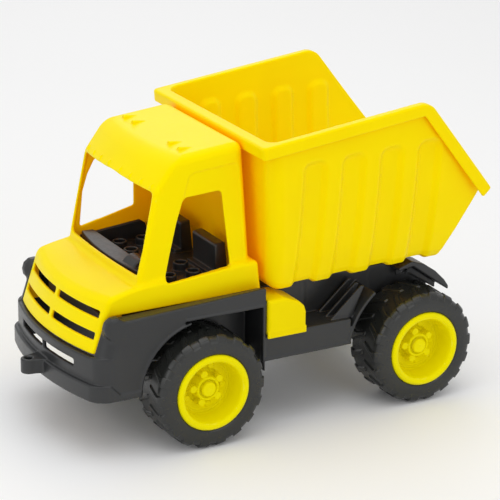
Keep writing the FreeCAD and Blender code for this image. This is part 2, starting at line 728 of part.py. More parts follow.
def cab_upper(tag, inset, floor):
    """Cabin above the shoulder, set in by a wall."""
    wall = "(%s)" % inset
    return common(
        tag + "_upper",
        box(tag + "_ub", ("10+" + wall, 100), across("cab_half-" + wall), (floor, "roof_z+5")),
        leaning_cylinder(tag + "_shield", "cab_arc-" + wall, "87-" + wall, 106.3, 8.9),
        leaning_cylinder(tag + "_visor", "cab_arc+65-" + wall, "79.5-1.25*" + wall, 154.2, 37.0),
        prism(tag + "_crown", "XZ",
              [(5, 50), (95, 50), (95, "roof_z-7.48-" + wall), (5, "roof_z+0.83-" + wall)],
              across(60)),
        prism(tag + "_back", "XZ",
              [("9.0+" + wall, 60), (130, 60), (130, 200), ("20.0+" + wall, 200)], across(60)))


def cab_lower(tag, inset, side_floor, underside):
    """Hood and grille, set in by a wall and closed below by the underside points."""
    wall = "(%s)" % inset
    outline = [("7.2+" + wall, side_floor), ("9.4+" + wall, "103-" + wall),
               (88, "99.9-" + wall), (132, "88-" + wall)]
    return common(tag + "_lower",
                  prism(tag + "_side", "XZ", outline + underside, across("hood_half-" + wall)),
                  leaning_face(tag + "_grille", inset))


def is_roof_front(edge):
    return middle(edge).z > 168.5 and middle(edge).x > 55 and edge.BoundBox.YLength > 20


def is_cabin_rail(edge):
    point = middle(edge)
    on_side = abs(abs(point.y) - sizes["cab_half"]) < 0.2 and point.z > 100 and point.x > 20
    return on_side or (point.z > 171.5 and point.x < 22)


def is_hood_edge(edge):
    point = middle(edge)
    on_side = abs(abs(point.y) - sizes["hood_half"]) < 0.1
    if on_side and (point.z > 93 or edge.BoundBox.ZLength > 25):
        return True
    return point.x > 106 and point.z > 88


def cab_skin():
    upper = cab_upper("cab_o", 0, 86)
    lower = cab_lower("cab_o", 0, "cab_low",
                      [(132, "grille_low"), (105.4, "grille_low"), (105.4, "cab_low")])
    upper = fillet("cab_o_brow", upper, is_roof_front, 6)
    upper = fillet("cab_o_rail", upper, is_cabin_rail, 6)
    lower = fillet("cab_o_cheek", lower, is_hood_edge, 3)
    # the inside runs out below, leaving the shell open
    upper_inside = cab_upper("cab_i", "cab_wall", 60)
    lower_inside = cab_lower("cab_i", "cab_wall", 40, [(132, 40)])
    outside = fuse("cab_outside", upper, lower)
    inside = fuse("cab_inside", upper_inside, lower_inside)
    return cut("cab_skin", outside, inside)


def cab_openings():
    openings = [
        prism("window_left", "XZ", WINDOW_LEFT, (30, 60)),
        prism("window_right", "XZ", WINDOW_RIGHT, (-60, -30)),
        prism("window_front", "YZ", WINDSHIELD, (66, 100)),
    ]
    for i, (bottom, top, half) in enumerate(GRILLE_SLOTS):
        for tag, sign in SIDES:
            openings.append(box("grille_%d%s" % (i, tag), (100, 130), flank(sign, 1.8, half),
                                (bottom, top)))
    return openings


def make_horn(name, y):
    """Cone on the roof, widening forward."""
    horn = doc.addObject("Part::Cone", name)
    horn.Placement = Placement(Vector(0, 0, 0), AXIS["x"])
    horn.Radius1, horn.Radius2, horn.Height = 0.5, 1.9, 8.6
    bind_base(horn, 46, y, "roof_z-3.3")
    return horn


def make_cab_shell():
    shell = cut("cab_cut", cab_skin(), *cab_openings())
    bosses, pilots = [], []
    for tag, x, y in SCREWS:
        bosses.append(cylinder("boss_" + tag, "boss_rad", BOSS_HEIGHT[tag[0]], x, y,
                               "deck_top+0.1"))
        pilots.append(cylinder("pilot_" + tag, "screw_rad", 11, x, y, "deck_top-1"))
    # webs tie the rear bosses to the back wall
    webs = [box("web_" + tag, (9, "boss_rear_x"),
                flank(sign, "boss_rear_y-1", "boss_rear_y+1"), (85, 98)) for tag, sign in SIDES]
    horns = [make_horn("horn_%d" % i, y) for i, y in enumerate(HORN_Y)]
    body = fuse("cab_bossed", shell, *bosses, *webs, *horns)
    cut("cab_shell", body, *pilots).Label = "cab_shell"


# ---------------------------------------------------------------- seat tub
# side outlines, (x, z)
TUB_WALL = [(33, "floor_z-1"), (36.5, 101.6), (40, 104.2), (80, 100.6), (80, "floor_z-1")]
DASH = [
    (70.6, 100.4), (71.4, 103.0), (84.4, 103.6), (84.4, 98),
    (80, "floor_z-1"), (78, "floor_z-1"), (78, 100.4),
]
SEAT_BACK = [
    (21.6, "floor_z-1"), (30.4, "floor_z-1"), (31.0, 110.6),
    (30.2, 111.8), (25.0, 112.4), (23.8, 111.6),
]
CUSHION = [(29, "floor_z-1"), (34.6, "floor_z-1"), (34.2, 94.6), (29, 95.0)]


def tub_fittings():
    """Right wall, dash, binnacle and seats."""
    fittings = [
        prism("tub_wall_r", "XZ", TUB_WALL, (-44.4, -42.4)),
        common("dash_arc", prism("dash", "XZ", DASH, across(43)),
               cylinder("dash_front", "cab_arc-6", 200, "84.2-cab_arc+6", 0, 0)),
        common("binnacle_round", cross_cylinder("binnacle", 7, 74.4, 100.2, (15, 30)),
               box("binnacle_box", (69.4, 81), (10, 40), (99, 107.4))),
    ]
    for tag, sign in SIDES:
        width = flank(sign, 7.8, 36.4)
        fittings.append(prism("seat_" + tag, "XZ", SEAT_BACK, width))
        fittings.append(prism("cushion_" + tag, "XZ", CUSHION, width))
    return fittings


def floor_studs():
    """Two rows of two studs on each side, and their bores."""
    studs, bores = [], []
    for i in range(2):
        for j in range(2):
            for tag, sign in SIDES:
                x = "stud_x-%d*stud_pitch" % i
                y = signed(sign, "stud_y+%d*stud_pitch" % j)
                name = "%s%d%d" % (tag, i, j)
                studs.append(cylinder("stud_" + name, "stud_rad", "stud_top-floor_z+1",
                                      x, y, "floor_z-1"))
                bores.append(cylinder("stud_bore_" + name, "stud_bore", 12, x, y, "floor_z-2.5"))
    return studs, bores


def make_interior():
    tub = cut("tub_shell",
              box("tub_block", (19.4, 80), across(44.4), ("deck_top+0.1", "floor_z")),
              box("tub_void", (21.4, 78), across(42.4), ("deck_top-1", "floor_z-2")))
    studs, bores = floor_studs()
    tub = fuse("tub_all", tub, *tub_fittings(), *studs)
    cut("cab_interior", tub, *bores).Label = "cab_interior"


# ---------------------------------------------------------------- dump bed
# side wall section from the floor up: y outside, z outside, z inside
BED_WALL_LINE = [
    (50.6, 82.4, 84.6), (54.6, 84.0, 86.0), (56.4, 88, 90), (59.4, 101, 103), (62.2, 118, 119),
    (64.2, 134, 135), (65.6, 150, 150), (66.2, 165, 165), (66.4, 200, 200),
]
# line the side channels follow: the wall up to z = 150, then its own top point, (y, z)
CHANNEL_LINE = [(y, z) for y, z, _ in BED_WALL_LINE[:7]] + [(66.0, 164.6)]
# bed seen from the side, (x, z)
BED_OUTSIDE = [
    (3.6, 80), ("bed_front", 172), ("bed_front+0.5", 177.0),
    (-92.5, 190.0), (-136.2, 128.4), (-109.6, 80),
]
BED_INSIDE = [
    (1.4, 80), ("bed_front-bed_wall", 172), ("bed_front-bed_wall+0.5", 200),
    (-160, 200), (-160, 80),
]
RIM_SIDE = [
    ("bed_front+5.4", 177.6), (-93, 190.8), (-139.2, 130.4),
    (-136.8, 126.8), (-89.6, 182.6), ("bed_front+4.6", 170.2),
]
RIM_SIDE_HOLLOW = [
    ("bed_front+8", 175.4), (-92.0, 188.4), (-136.0, 131.0), (-150, 110),
    (-100, 110), (-80, 150), ("bed_front+8", 150),
]
RIM_FRONT = [
    ("bed_front-2", 177.36), ("bed_front+5.4", 177.6), ("bed_front+4.6", 170.2),
    ("bed_front+2.8", 170.2), ("bed_front+3.2", 175.4), ("bed_front-2", 175.2),
]
BED_LUG = [
    ("pivot_x-5.5", 86.2), ("pivot_x-5.5", "pivot_z-1"), ("pivot_x-3", "pivot_z-5"),
    ("pivot_x+3", "pivot_z-5"), ("pivot_x+5.5", "pivot_z-1"), ("pivot_x+12", 85.8),
]
CHANNEL_COUNT = 4


def is_front_corner(edge):
    point, bounds = middle(edge), edge.BoundBox
    return point.x > -5 and abs(point.y) > 53 and bounds.ZLength > 3 and bounds.XLength < 9


def bed_solid(tag, wall_line, profile, corner_rad):
    """Rising trough cut by a side profile, its front corners rounded."""
    section = wall_line + [("-(%s)" % y, z) for y, z in reversed(wall_line)]
    solid = common(tag, prism(tag + "_section", "YZ", section, (-150, 30), rising=True),
                   prism(tag + "_profile", "XZ", profile, across(80)))
    return fillet(tag + "_round", solid, is_front_corner, corner_rad)


def side_channels():
    """Channels pressed into the side walls: recesses outside, raised blocks inside."""
    outer = [(90, 78), (90, 167.4), (66.6, 167.0)]
    outer += [("%s-channel_depth" % y, z) for y, z in reversed(CHANNEL_LINE)]
    outer += [(48.6, 78)]
    inner = [("66.2-bed_wall+0.8", 171.0), ("66.0-channel_depth-bed_wall", 167.6)]
    inner += [("%s-channel_depth-bed_wall" % y, z) for y, z in reversed(CHANNEL_LINE[:-1])]
    inner += [(46, 83.6)]
    inner += [("%s-1.0" % y, z) for y, z in CHANNEL_LINE]
    recesses, blocks = [], []
    for i in range(CHANNEL_COUNT):
        front = "channel_x-%d*channel_pitch" % i
        back = front + "-channel_width"
        for tag, sign in SIDES:
            recesses.append(prism("channel_o%d%s" % (i, tag), "YZ",
                                  [(signed(sign, y), z) for y, z in outer],
                                  (back, front), rising=True))
            blocks.append(prism("channel_i%d%s" % (i, tag), "YZ",
                                [(signed(sign, y), z) for y, z in inner],
                                (back + "-1.4", front + "+1.4"), rising=True))
    return recesses, blocks


def bed_rim():
    """Flange round the top and down the tail, with a turned-down lip."""
    side = cut("bed_rim_side",
               prism("bed_rim_l", "XZ", RIM_SIDE, (64.6, "rim_half")),
               prism("bed_rim_l_cut", "XZ", RIM_SIDE_HOLLOW, (66.0, "rim_half-1.9")))
    front = prism("bed_rim_f", "XZ", RIM_FRONT, across("rim_half"))
    return [side, mirror("bed_rim_side_r", side), front]


def make_bed():
    outside = bed_solid("bed_out", [(y, z) for y, z, _ in BED_WALL_LINE], BED_OUTSIDE, 8)
    inside = bed_solid("bed_in", [("%s-bed_wall" % y, z) for y, _, z in BED_WALL_LINE],
                       BED_INSIDE, "8-bed_wall")
    recesses, blocks = side_channels()
    wall = cut("bed_wall_shell", outside, inside)
    wall = fuse("bed_ribbed", wall, *blocks)
    wall = cut("bed_pressed", wall, *recesses)
    lugs = [prism("bed_lug_" + tag, "XZ", BED_LUG, flank(sign, "lug_in", "lug_out"))
            for tag, sign in SIDES]
    bed = fuse("bed_all", wall, *bed_rim(), *lugs)
    bore = cross_cylinder("bed_bore", "pin_rad+run_gap", "pivot_x", "pivot_z", THROUGH)
    cut("dump_bed", bed, bore).Label = "dump_bed"


# ---------------------------------------------------------------- side tanks
# side outlines, (x, z)
TANK_OUTSIDE = [
    ("tank_front_x", "sill_top+0.1"), ("tank_front_x", "tank_top"), (-3, "tank_top+0.2"),
    (-13.4, 76.4), (-16.8, 73.2), ("tank_rear_x", 69.5), ("tank_rear_x", "sill_top+0.1"),
]
TANK_INSIDE = [
    ("tank_front_x-2", 50), ("tank_front_x-2", "tank_top-2"), (-3.6, "tank_top-2"),
    (-12.4, 74.4), (-15.2, 71.6), ("tank_rear_x+2", 68.6), ("tank_rear_x+2", 50),
]


def is_tank_outer_edge(edge):
    point = middle(edge)
    return abs(abs(point.y) - sizes["tank_half"]) < 0.05 and point.z > 66


def make_tank(side, sign):
    """Hollow tank standing on the sill, with a lip hanging outside it."""
    body = prism("tank_side_" + side, "XZ", TANK_OUTSIDE,
                 flank(sign, "frame_half+0.1", "tank_half"))
    lip = box("tank_lip_" + side, ("tank_rear_x", "tank_front_x"),
              flank(sign, "skirt_half+0.1", "tank_half"), (56.6, "sill_top+1"))
    tank = fuse("tank_sum_" + side, body, lip)
    tank = fillet("tank_round_" + side, tank, is_tank_outer_edge, 2.4)
    hollow = prism("tank_void_" + side, "XZ", TANK_INSIDE,
                   flank(sign, "frame_half+2.1", "tank_half-2"))
    below = box("tank_keep_" + side, ("tank_rear_x-1", "tank_front_x+1"),
                across("skirt_half+0.1"), (50, "sill_top+0.1"))
    hollow = cut("tank_hollow_" + side, hollow, below)
    name = "fuel_tank_" + side
    cut(name, tank, hollow).Label = name


# ---------------------------------------------------------------- cab screws
def make_screws():
    screws = []
    for tag, x, y in SCREWS:
        head = cylinder("screw_head_" + tag, 2.7, 1.8, x, y, "deck_top-5.0")
        shank = cylinder("screw_shank_" + tag, "screw_rad", 12.2, x, y, "deck_top-3.4")
        screws.append(fuse("screw_" + tag, head, shank))
    group = doc.addObject("Part::Compound", "cab_screws")
    group.Links = screws
    group.Label = "cab_screws"


# ---------------------------------------------------------------- export
def export(names):
    """Check every object and piece, then write one STEP file per piece."""
    doc.recompute()
    bad = [item.Name for item in doc.Objects if "Invalid" in item.State or "Error" in item.State]
    if bad:
        raise RuntimeError("objects in error: %s" % bad)
    os.makedirs("parts", exist_ok=True)
    shapes = {item.Label: item.Shape for item in doc.Objects if item.Label in names}
    for name in names:
        shape = shapes[name]
        if shape.isNull() or not shape.isValid():
            raise RuntimeError("bad shape: " + name)
        if name != "cab_screws" and len(shape.Solids) != 1:
            raise RuntimeError("%s has %d solids" % (name, len(shape.Solids)))
    for name in names:
        shapes[name].exportStep("parts/%s.step" % name)


fill_sheet()
make_chassis()
for axle_name, axle_x in AXLES:
    make_rod("axle_" + axle_name, "axle_rad", "axle_half", axle_x, "axle_z")
make_rod("bed_hinge_pin", "pin_rad", "frame_half+1.2", "pivot_x", "pivot_z")
wheel_names = make_wheels()
make_cab_shell()
make_interior()
make_bed()
make_tank("left", 1)
make_tank("right", -1)
make_screws()
export(["chassis", "cab_shell", "cab_interior", "dump_bed", "bed_hinge_pin",
        "fuel_tank_left", "fuel_tank_right", "axle_front", "axle_rear", "cab_screws"]
       + wheel_names)
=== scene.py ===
"""Toy dump truck: moulded plastic pieces built as smooth volumes round the CAD frame, with
materials, floor, lights and camera.
Shapes are in millimetres, the scene in metres; +X forward, +Y the truck's left, +Z up."""

import copy
import math

import bpy
import numpy as np
import openvdb as vdb
from mathutils import Matrix, Vector


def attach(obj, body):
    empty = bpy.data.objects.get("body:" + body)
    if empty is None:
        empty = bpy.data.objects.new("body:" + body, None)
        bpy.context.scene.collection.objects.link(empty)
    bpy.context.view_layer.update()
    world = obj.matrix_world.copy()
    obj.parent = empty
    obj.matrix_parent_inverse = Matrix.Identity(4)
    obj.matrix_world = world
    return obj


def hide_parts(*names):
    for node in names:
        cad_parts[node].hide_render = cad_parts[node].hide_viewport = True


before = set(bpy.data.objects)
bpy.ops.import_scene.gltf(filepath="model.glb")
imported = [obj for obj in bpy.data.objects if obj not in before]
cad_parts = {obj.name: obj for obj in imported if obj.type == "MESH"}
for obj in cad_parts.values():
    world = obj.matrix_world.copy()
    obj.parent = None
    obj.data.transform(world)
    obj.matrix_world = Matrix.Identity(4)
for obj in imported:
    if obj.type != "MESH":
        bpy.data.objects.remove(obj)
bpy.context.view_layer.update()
FLOAT = np.float32

# ------------------------------------------------------------------ shared sizes, mm
FRONT_AXLE, REAR_AXLE, AXLE_HEIGHT = 50.0, -95.0, 35.0
HINGE = (-98, 76)  # x, z of the bed's pin
PIN_HOLE, WHEEL_BORE = 2.56, 2.56  # radii in the bed lugs and the rims
FRAME_HOLE = 2.5  # radius of the axle and hinge holes in the chassis
SCREW_X, SCREW_Y = (98.0, 14.0), 41.5  # posts of the cab, holes of the chassis
GRILLE = dict(radius=185, front_x=123.4, front_z=63, lean=18.5)  # shared by cab and fenders
NOSE_X, NOSE_RADIUS = 125.4, 185  # chassis front, bowed in plan
NOSE_CENTRE = NOSE_X - NOSE_RADIUS
FENDER_Y = 59.5  # half width over the fenders
FENDER_WALL = 2.4
FENDER_CEILING = 76.8  # underside of the fender tops
OPENING_RADIUS = 40.2  # front wheel openings
BEAD = 1.5  # width of the bead round them


# ------------------------------------------------------------------ volume tools
class Grid:
    """Sample points of a box. If y starts at 0, only the left half is sampled, then mirrored."""

    def __init__(self, x_range, y_range, z_range, spacing):
        def samples(low, high):
            return np.arange(low, high + spacing, spacing)

        self.spacing, self.half = spacing, y_range[0] == 0
        x, z = samples(*x_range), samples(*z_range)
        if self.half:
            y = (np.arange(int(math.ceil(y_range[1] / spacing)) + 1) + 0.5) * spacing
        else:
            y = samples(*y_range)
        self.origin = np.array([x[0], -y[-1] if self.half else y[0], z[0]])
        self.x = x.astype(FLOAT)[:, None, None]
        self.y = y.astype(FLOAT)[None, :, None]
        self.z = z.astype(FLOAT)[None, None, :]

    def axes(self):
        return self.x, self.y, self.z

    def both_sides(self):
        """The same points on both sides, for shapes that differ left and right."""
        grid = copy.copy(self)
        grid.half = False
        grid.y = np.concatenate([-self.y[:, ::-1, :], self.y], axis=1)
        return grid

    def full(self, field):
        field = np.broadcast_to(field, (self.x.size, self.y.size, self.z.size))
        if self.half:
            field = np.concatenate([field[:, ::-1, :], field], axis=1)
        return field


# Shapes are signed distances, negative inside. The last argument rounds the meeting edge.
def meet(a, b, radius=0.0):
    if radius <= 0:
        return np.maximum(a, b)
    outside = np.hypot(np.maximum(radius + a, 0), np.maximum(radius + b, 0))
    return np.minimum(-radius, np.maximum(a, b)) + outside


def join(a, b, radius=0.0):
    if radius <= 0:
        return np.minimum(a, b)
    inside = np.hypot(np.maximum(radius - a, 0), np.maximum(radius - b, 0))
    return np.maximum(radius, np.minimum(a, b)) - inside


def cut(a, b, radius=0.0):
    return meet(a, -b, radius)


def inset(corners, distance):
    """An anticlockwise polygon with every edge moved inwards."""
    moved = []
    for i in range(len(corners)):
        before, corner, after = corners[i - 1], corners[i], corners[(i + 1) % len(corners)]
        edge_in = (corner - before) / np.linalg.norm(corner - before)
        edge_out = (after - corner) / np.linalg.norm(after - corner)
        normal_in = np.array([-edge_in[1], edge_in[0]])
        normal_out = np.array([-edge_out[1], edge_out[0]])
        spread = 1 + normal_in @ normal_out
        moved.append(corner + distance * (normal_in + normal_out) / spread)
    return np.array(moved)


def outline(u, v, corners, radius=0.0):
    """A closed polygon over two coordinates, its outer corners rounded."""
    corners = np.array(corners, float)
    after = np.roll(corners, -1, axis=0)
    if (corners[:, 0] * after[:, 1] - after[:, 0] * corners[:, 1]).sum() < 0:
        corners = corners[::-1]
    if radius > 0:
        corners = inset(corners, radius)
    nearest, sign = np.inf, 1.0
    for i in range(len(corners)):
        start, end = corners[i], corners[i - 1]
        edge_u, edge_v = end - start
        from_u, from_v = u - start[0], v - start[1]
        along = (from_u * edge_u + from_v * edge_v) / (edge_u * edge_u + edge_v * edge_v)
        along = np.clip(along, 0, 1)
        squared = (from_u - edge_u * along) ** 2 + (from_v - edge_v * along) ** 2
        above, below = v >= start[1], v < end[1]
        left = edge_u * from_v > edge_v * from_u
        crossing = (above & below & left) | (~above & ~below & ~left)
        nearest = np.minimum(nearest, squared)
        sign = sign * np.where(crossing, -1.0, 1.0)
    return (sign * np.sqrt(nearest) - radius).astype(FLOAT)


def line(u, v, start, end):
    """Distance to a line over two coordinates, positive on its left."""
    run_u, run_v = end[0] - start[0], end[1] - start[1]
    return ((u - start[0]) * (-run_v) + (v - start[1]) * run_u) / math.hypot(run_u, run_v)


def band(u, low, high):
    return np.maximum(low - u, u - high)


def box(u, v, u_low, u_high, v_low, v_high, radius=0.0):
    return meet(band(u, u_low, u_high), band(v, v_low, v_high), radius)


def disc(u, v, centre_u, centre_v, radius):
    return np.hypot(u - centre_u, v - centre_v) - radius


def barrel(x, y, z, radius, front_x, front_z, lean):
    """Leaning cylinder whose foremost line passes through (front_x, 0, front_z)."""
    cos, sin = math.cos(math.radians(lean)), math.sin(math.radians(lean))
    return np.hypot((x - front_x) * cos + (z - front_z) * sin + radius, y) - radius


def ease(t):
    """Smooth step from 0 to 1."""
    t = np.clip(t, 0, 1)
    return t * t * (3 - 2 * t)


def settle(field, points):
    """Move mesh points onto the interpolated zero surface, all in grid steps."""
    reach = 0.6  # half span of the slope measurement
    flattest, furthest = 0.15, 0.45  # least squared slope, greatest move
    shape = np.array(field.shape)

    def value(at):
        at = np.clip(at, 0, shape - 1.001).astype(FLOAT)
        cell = at.astype(np.int32)
        x, y, z = cell.T
        part_x, part_y, part_z = (at - cell).T

        def layer(z):
            right = field[x, y, z] * (1 - part_x) + field[x + 1, y, z] * part_x
            left = field[x, y + 1, z] * (1 - part_x) + field[x + 1, y + 1, z] * part_x
            return right * (1 - part_y) + left * part_y

        return layer(z) * (1 - part_z) + layer(z + 1) * part_z

    start = points.copy()
    for _ in range(2):
        height = value(points)
        slope = np.empty_like(points)
        for axis, nudge in enumerate(np.eye(3, dtype=FLOAT) * FLOAT(reach)):
            slope[:, axis] = (value(points + nudge) - value(points - nudge)) / (2 * reach)
        squared = np.maximum((slope * slope).sum(1), flattest)
        points = points - slope * (height / squared)[:, None]
    return (start + np.clip(points - start, -furthest, furthest)).astype(float)


def surface(name, grid, field, bend=None):
    """The zero surface of a sampled distance as a smooth mesh; bend moves its points."""
    reach = 3.0  # distances are kept this many grid steps either side
    steps = np.clip(grid.full(field) / grid.spacing, -reach, reach).astype(FLOAT)
    volume = vdb.FloatGrid(reach)
    volume.copyFromArray(np.ascontiguousarray(steps))
    points, quads = volume.convertToQuads(0.0)
    points = settle(steps, np.array(points, FLOAT)) * grid.spacing + grid.origin
    if bend is not None:
        points = bend(points)
    return mesh_of(name, points, np.array(quads)[:, ::-1])


def mesh_of(name, points, quads):
    mesh = bpy.data.meshes.new(name)
    mesh.vertices.add(len(points))
    metres = (np.asarray(points, float) / 1000.0).astype(FLOAT)
    mesh.vertices.foreach_set("co", metres.ravel())
    count = len(quads)
    mesh.loops.add(count * 4)
    mesh.loops.foreach_set("vertex_index", np.asarray(quads, np.int32).ravel())
    mesh.polygons.add(count)
    mesh.polygons.foreach_set("loop_start", np.arange(0, count * 4, 4, dtype=np.int32))
    mesh.polygons.foreach_set("loop_total", np.full(count, 4, np.int32))
    mesh.polygons.foreach_set("use_smooth", np.full(count, True))
    mesh.update(calc_edges=True)
    mesh.validate()
    return add_object(name, mesh)


def add_object(name, data):
    obj = bpy.data.objects.new(name, data)
    bpy.context.scene.collection.objects.link(obj)
    return obj


def outward(obj):
    """Flip the faces of a closed mesh whose signed volume is negative."""
    mesh = obj.data
    mesh.calc_loop_triangles()
    corners = np.zeros(len(mesh.loop_triangles) * 3, np.int32)
    mesh.loop_triangles.foreach_get("vertices", corners)
    points = np.zeros(len(mesh.vertices) * 3, FLOAT)
    mesh.vertices.foreach_get("co", points)
    a, b, c = points.reshape(-1, 3).astype(float)[corners.reshape(-1, 3).T]
    if np.einsum("ij,ij->i", a, np.cross(b, c)).sum() < 0:
        mesh.flip_normals()
    return obj


# ------------------------------------------------------------------ dump bed
BED_SLOPE = 0.028  # the bed is shaped level, then sheared to climb this much towards the tail
BED_WALL = 2.0
CHANNEL_DEPTH = 2.3


def bed_rise(x):
    return BED_SLOPE * (5 - x)


def bed_line(x, z, start, end):
    """A line through two points of the finished bed, in the level bed."""
    start, end = [(px, pz - bed_rise(px)) for px, pz in (start, end)]
    return line(x, z, start, end)


def channels(x, z, half_width, top, corner, fade):
    """1 in the four pressed channels of a side wall, 0 on the plain wall."""
    pressed = 0.0
    for i in range(4):
        centre = -19.0 - 26.0 * i
        shape = meet(np.abs(x - centre) - half_width, z - top, corner)
        pressed = np.maximum(pressed, ease(0.5 - shape / fade))
    return pressed


def bed_lugs(x, y, z):
    """Hinge lugs under the bed, 30 mm either side of the middle."""
    corners = [(-103.5, 86.2), (-103.5, 75), (-101, 71), (-95, 71), (-92.5, 75), (-86, 85.8)]
    corners = [(px, pz - bed_rise(px)) for px, pz in corners]
    lug = meet(outline(x, z, corners, 1.2), np.abs(y - 30) - 3.0, 0.6)
    return cut(lug, disc(x, z, HINGE[0], HINGE[1] - bed_rise(HINGE[0]), PIN_HOLE), 0.3)


def make_bed():
    grid = Grid((-144, 21), (0, 72), (67, 190), 0.62)
    x, y, z = grid.axes()
    # cross-section, y and z
    section = outline(y, z, [
        (-30, 82.4), (50.6, 82.4), (54.6, 84.0), (56.4, 88), (59.4, 101), (62.2, 118),
        (64.2, 134), (65.6, 150), (66.2, 165), (66.4, 210), (-30, 210)], 2.0)
    # the top edge climbs to a peak, then drops to the tail
    peak, tail_top = (-94.4, 189.9), (-140.8, 130.0)
    front = bed_line(x, z, (12.5, 177.5), (3.6, 80))
    top = meet(-bed_line(x, z, (17.4, 177.2), peak), -bed_line(x, z, peak, tail_top), 5.0)
    tail = -bed_line(x, z, (-136.2, 128.4), (-109.6, 80))
    outer_press = CHANNEL_DEPTH * channels(x, z, half_width=7.0, top=162.0, corner=5.0, fade=4.4)
    inner_press = CHANNEL_DEPTH * channels(x, z, half_width=6.8, top=165.8, corner=5.6, fade=4.0)
    outer = meet(section + outer_press * ease((y - 45.0) / 3.0), front, 9.0)
    outer = meet(outer, tail, 1.0)
    outer = meet(outer, top + 0.3, 0.8)
    inner = section + BED_WALL + inner_press * ease((y - 43.5) / 3.0)
    cavity = meet(inner, front + BED_WALL, 7.0)
    # rim along the top, hollow below
    plan = meet(y - 69.9, front - 5.4, 3.0)
    rim = meet(plan, top, 1.5)
    rim = cut(rim, top + 7.6, 0.7)
    rim = cut(rim, meet(plan + 1.9, top + 2.2, 0.8), 0.4)
    rim = meet(rim, -bed_line(x, z, tail_top, (-135.4, 125.0)), 2.2)
    wall = cut(join(outer, rim, 0.6), cavity, 0.9)
    wall = join(wall, bed_lugs(x, y, z), 0.8)

    def shear(points):
        points = points.copy()
        points[:, 2] += bed_rise(points[:, 0])
        return points

    return surface("dump_bed_moulding", grid, wall, shear)


# ------------------------------------------------------------------ cab shell
CAB_WALL = 2.0


def cab_skin(x, y, z, depth):
    """The upper and lower cab, pulled in by depth; at depth 0 they have lower edges."""
    outside = depth == 0
    # the glazed front is nearly flat across at the foot and more bowed at the brow
    bow = np.interp(z.ravel(), [100, 106, 153, 160], [0.0019, 0.0020, 0.0044, 0.0044])
    bow = bow.astype(FLOAT)[None, None, :]
    upright = math.cos(math.radians(8.9))
    glass = (x - (87.1 - (z - 106.3) * 0.1566) + 0.5 * bow * y * y) * upright + depth
    brow = barrel(x, y, z, radius=265, front_x=79.5, front_z=154.2, lean=37.0) + depth
    shield = meet(glass, brow, 1.0)
    panel_depth = 0.0
    if outside:
        # shallow recessed panel round each side opening, x and z
        panel = outline(x, z, [
            (67.5, 103), (60.5, 135), (53.5, 159.6), (50, 161.6), (24, 163.6), (21.6, 161),
            (16.4, 103)], 2.0)
        panel_depth = 0.6 * ease(0.5 - panel / 1.5)
    upper = meet(y - 47.2 + depth + panel_depth, shield, max(2.6 - depth, 0.8))
    upper = meet(upper, line(x, z, (9, 60), (20, 200)) + depth, max(6 - depth, 1))
    roof = -line(x, z, (95, 168.52), (5, 176.83)) + depth
    upper = meet(upper, roof, max(5.5 - depth, 1))
    upper = meet(upper, (86 if outside else 60) - z)

    cowl, shoulder = (88, 99.9), (9.4, 103)
    top = meet(-line(x, z, cowl, shoulder) + depth, -line(x, z, (132, 88), cowl) + depth, 4.0)
    lower = meet(y - 49.8 + depth, barrel(x, y, z, **GRILLE) + depth, 2.2)
    lower = meet(lower, line(x, z, (7.2, 84.4), shoulder) + depth, 1.5)
    lower = meet(lower, top, 3.0)
    if outside:
        # only the grille reaches below the body's edge
        lower = meet(lower, meet(63.2 - z, join(84.4 - z, 105.4 - x, 0.6)), 0.5)
    else:
        lower = meet(lower, 50 - z)
    return upper, lower


def cut_front(shell, x, y, z):
    """Windscreen opening and the two rows of grille slots."""
    screen = outline(y, z, [
        (-43.6, 103.6), (43.6, 103.6), (44.6, 120), (44.0, 152.4), (0, 154.2),
        (-44.0, 152.4), (-44.6, 120)], 2.6)
    shell = cut(shell, meet(screen, 66 - x), 0.7)
    for low, high, half_width in ((82.6, 87.0, 45.0), (70.4, 74.8, 46.0)):
        slot = meet(box(y, z, 1.8, half_width, low, high, 1.0), 100 - x)
        shell = cut(shell, slot, 0.6)
    return shell


def add_roof_parts(shell, upper, x, y, z):
    """Flared horns on the roof and small triangles along the brow."""
    back, front = 46, 54.6
    for across in (23.2, 35.4):
        radius = 0.5 + (x - back) / (front - back) * 1.4
        horn = meet(disc(y, z, across, 172.8, radius) * 0.98, band(x, back, front), 0.35)
        shell = join(shell, meet(horn, 171.0 - z), 0.5)
    for across in (7.3, 19.1, 30.6, 41.2):
        drop = across * 0.03
        corners = [(across - 1.4, 155.4 - drop), (across + 1.4, 155.4 - drop),
                   (across + 0.2, 158.6 - drop)]
        mark = meet(upper - 0.75, outline(y, z, corners, 0.2), 0.3)
        shell = join(shell, meet(mark, 68 - x), 0.25)
    return shell


def add_screw_posts(shell, x, y, z):
    hole = 1.25
    for post_x, top in zip(SCREW_X, (95.2, 98.0)):
        post = meet(disc(x, y, post_x, SCREW_Y, 3.6), band(z, 80.1, top), 0.4)
        post = cut(post, meet(disc(x, y, post_x, SCREW_Y, hole), z - 90.0))
        shell = join(shell, post, 0.5)
    # a web ties the rear post to the back wall
    rear = SCREW_X[1]
    web = meet(box(x, z, 9.6, rear, 85, 98), np.abs(y - SCREW_Y) - 1.0)
    return join(shell, cut(web, disc(x, y, rear, SCREW_Y, hole)), 0.3)


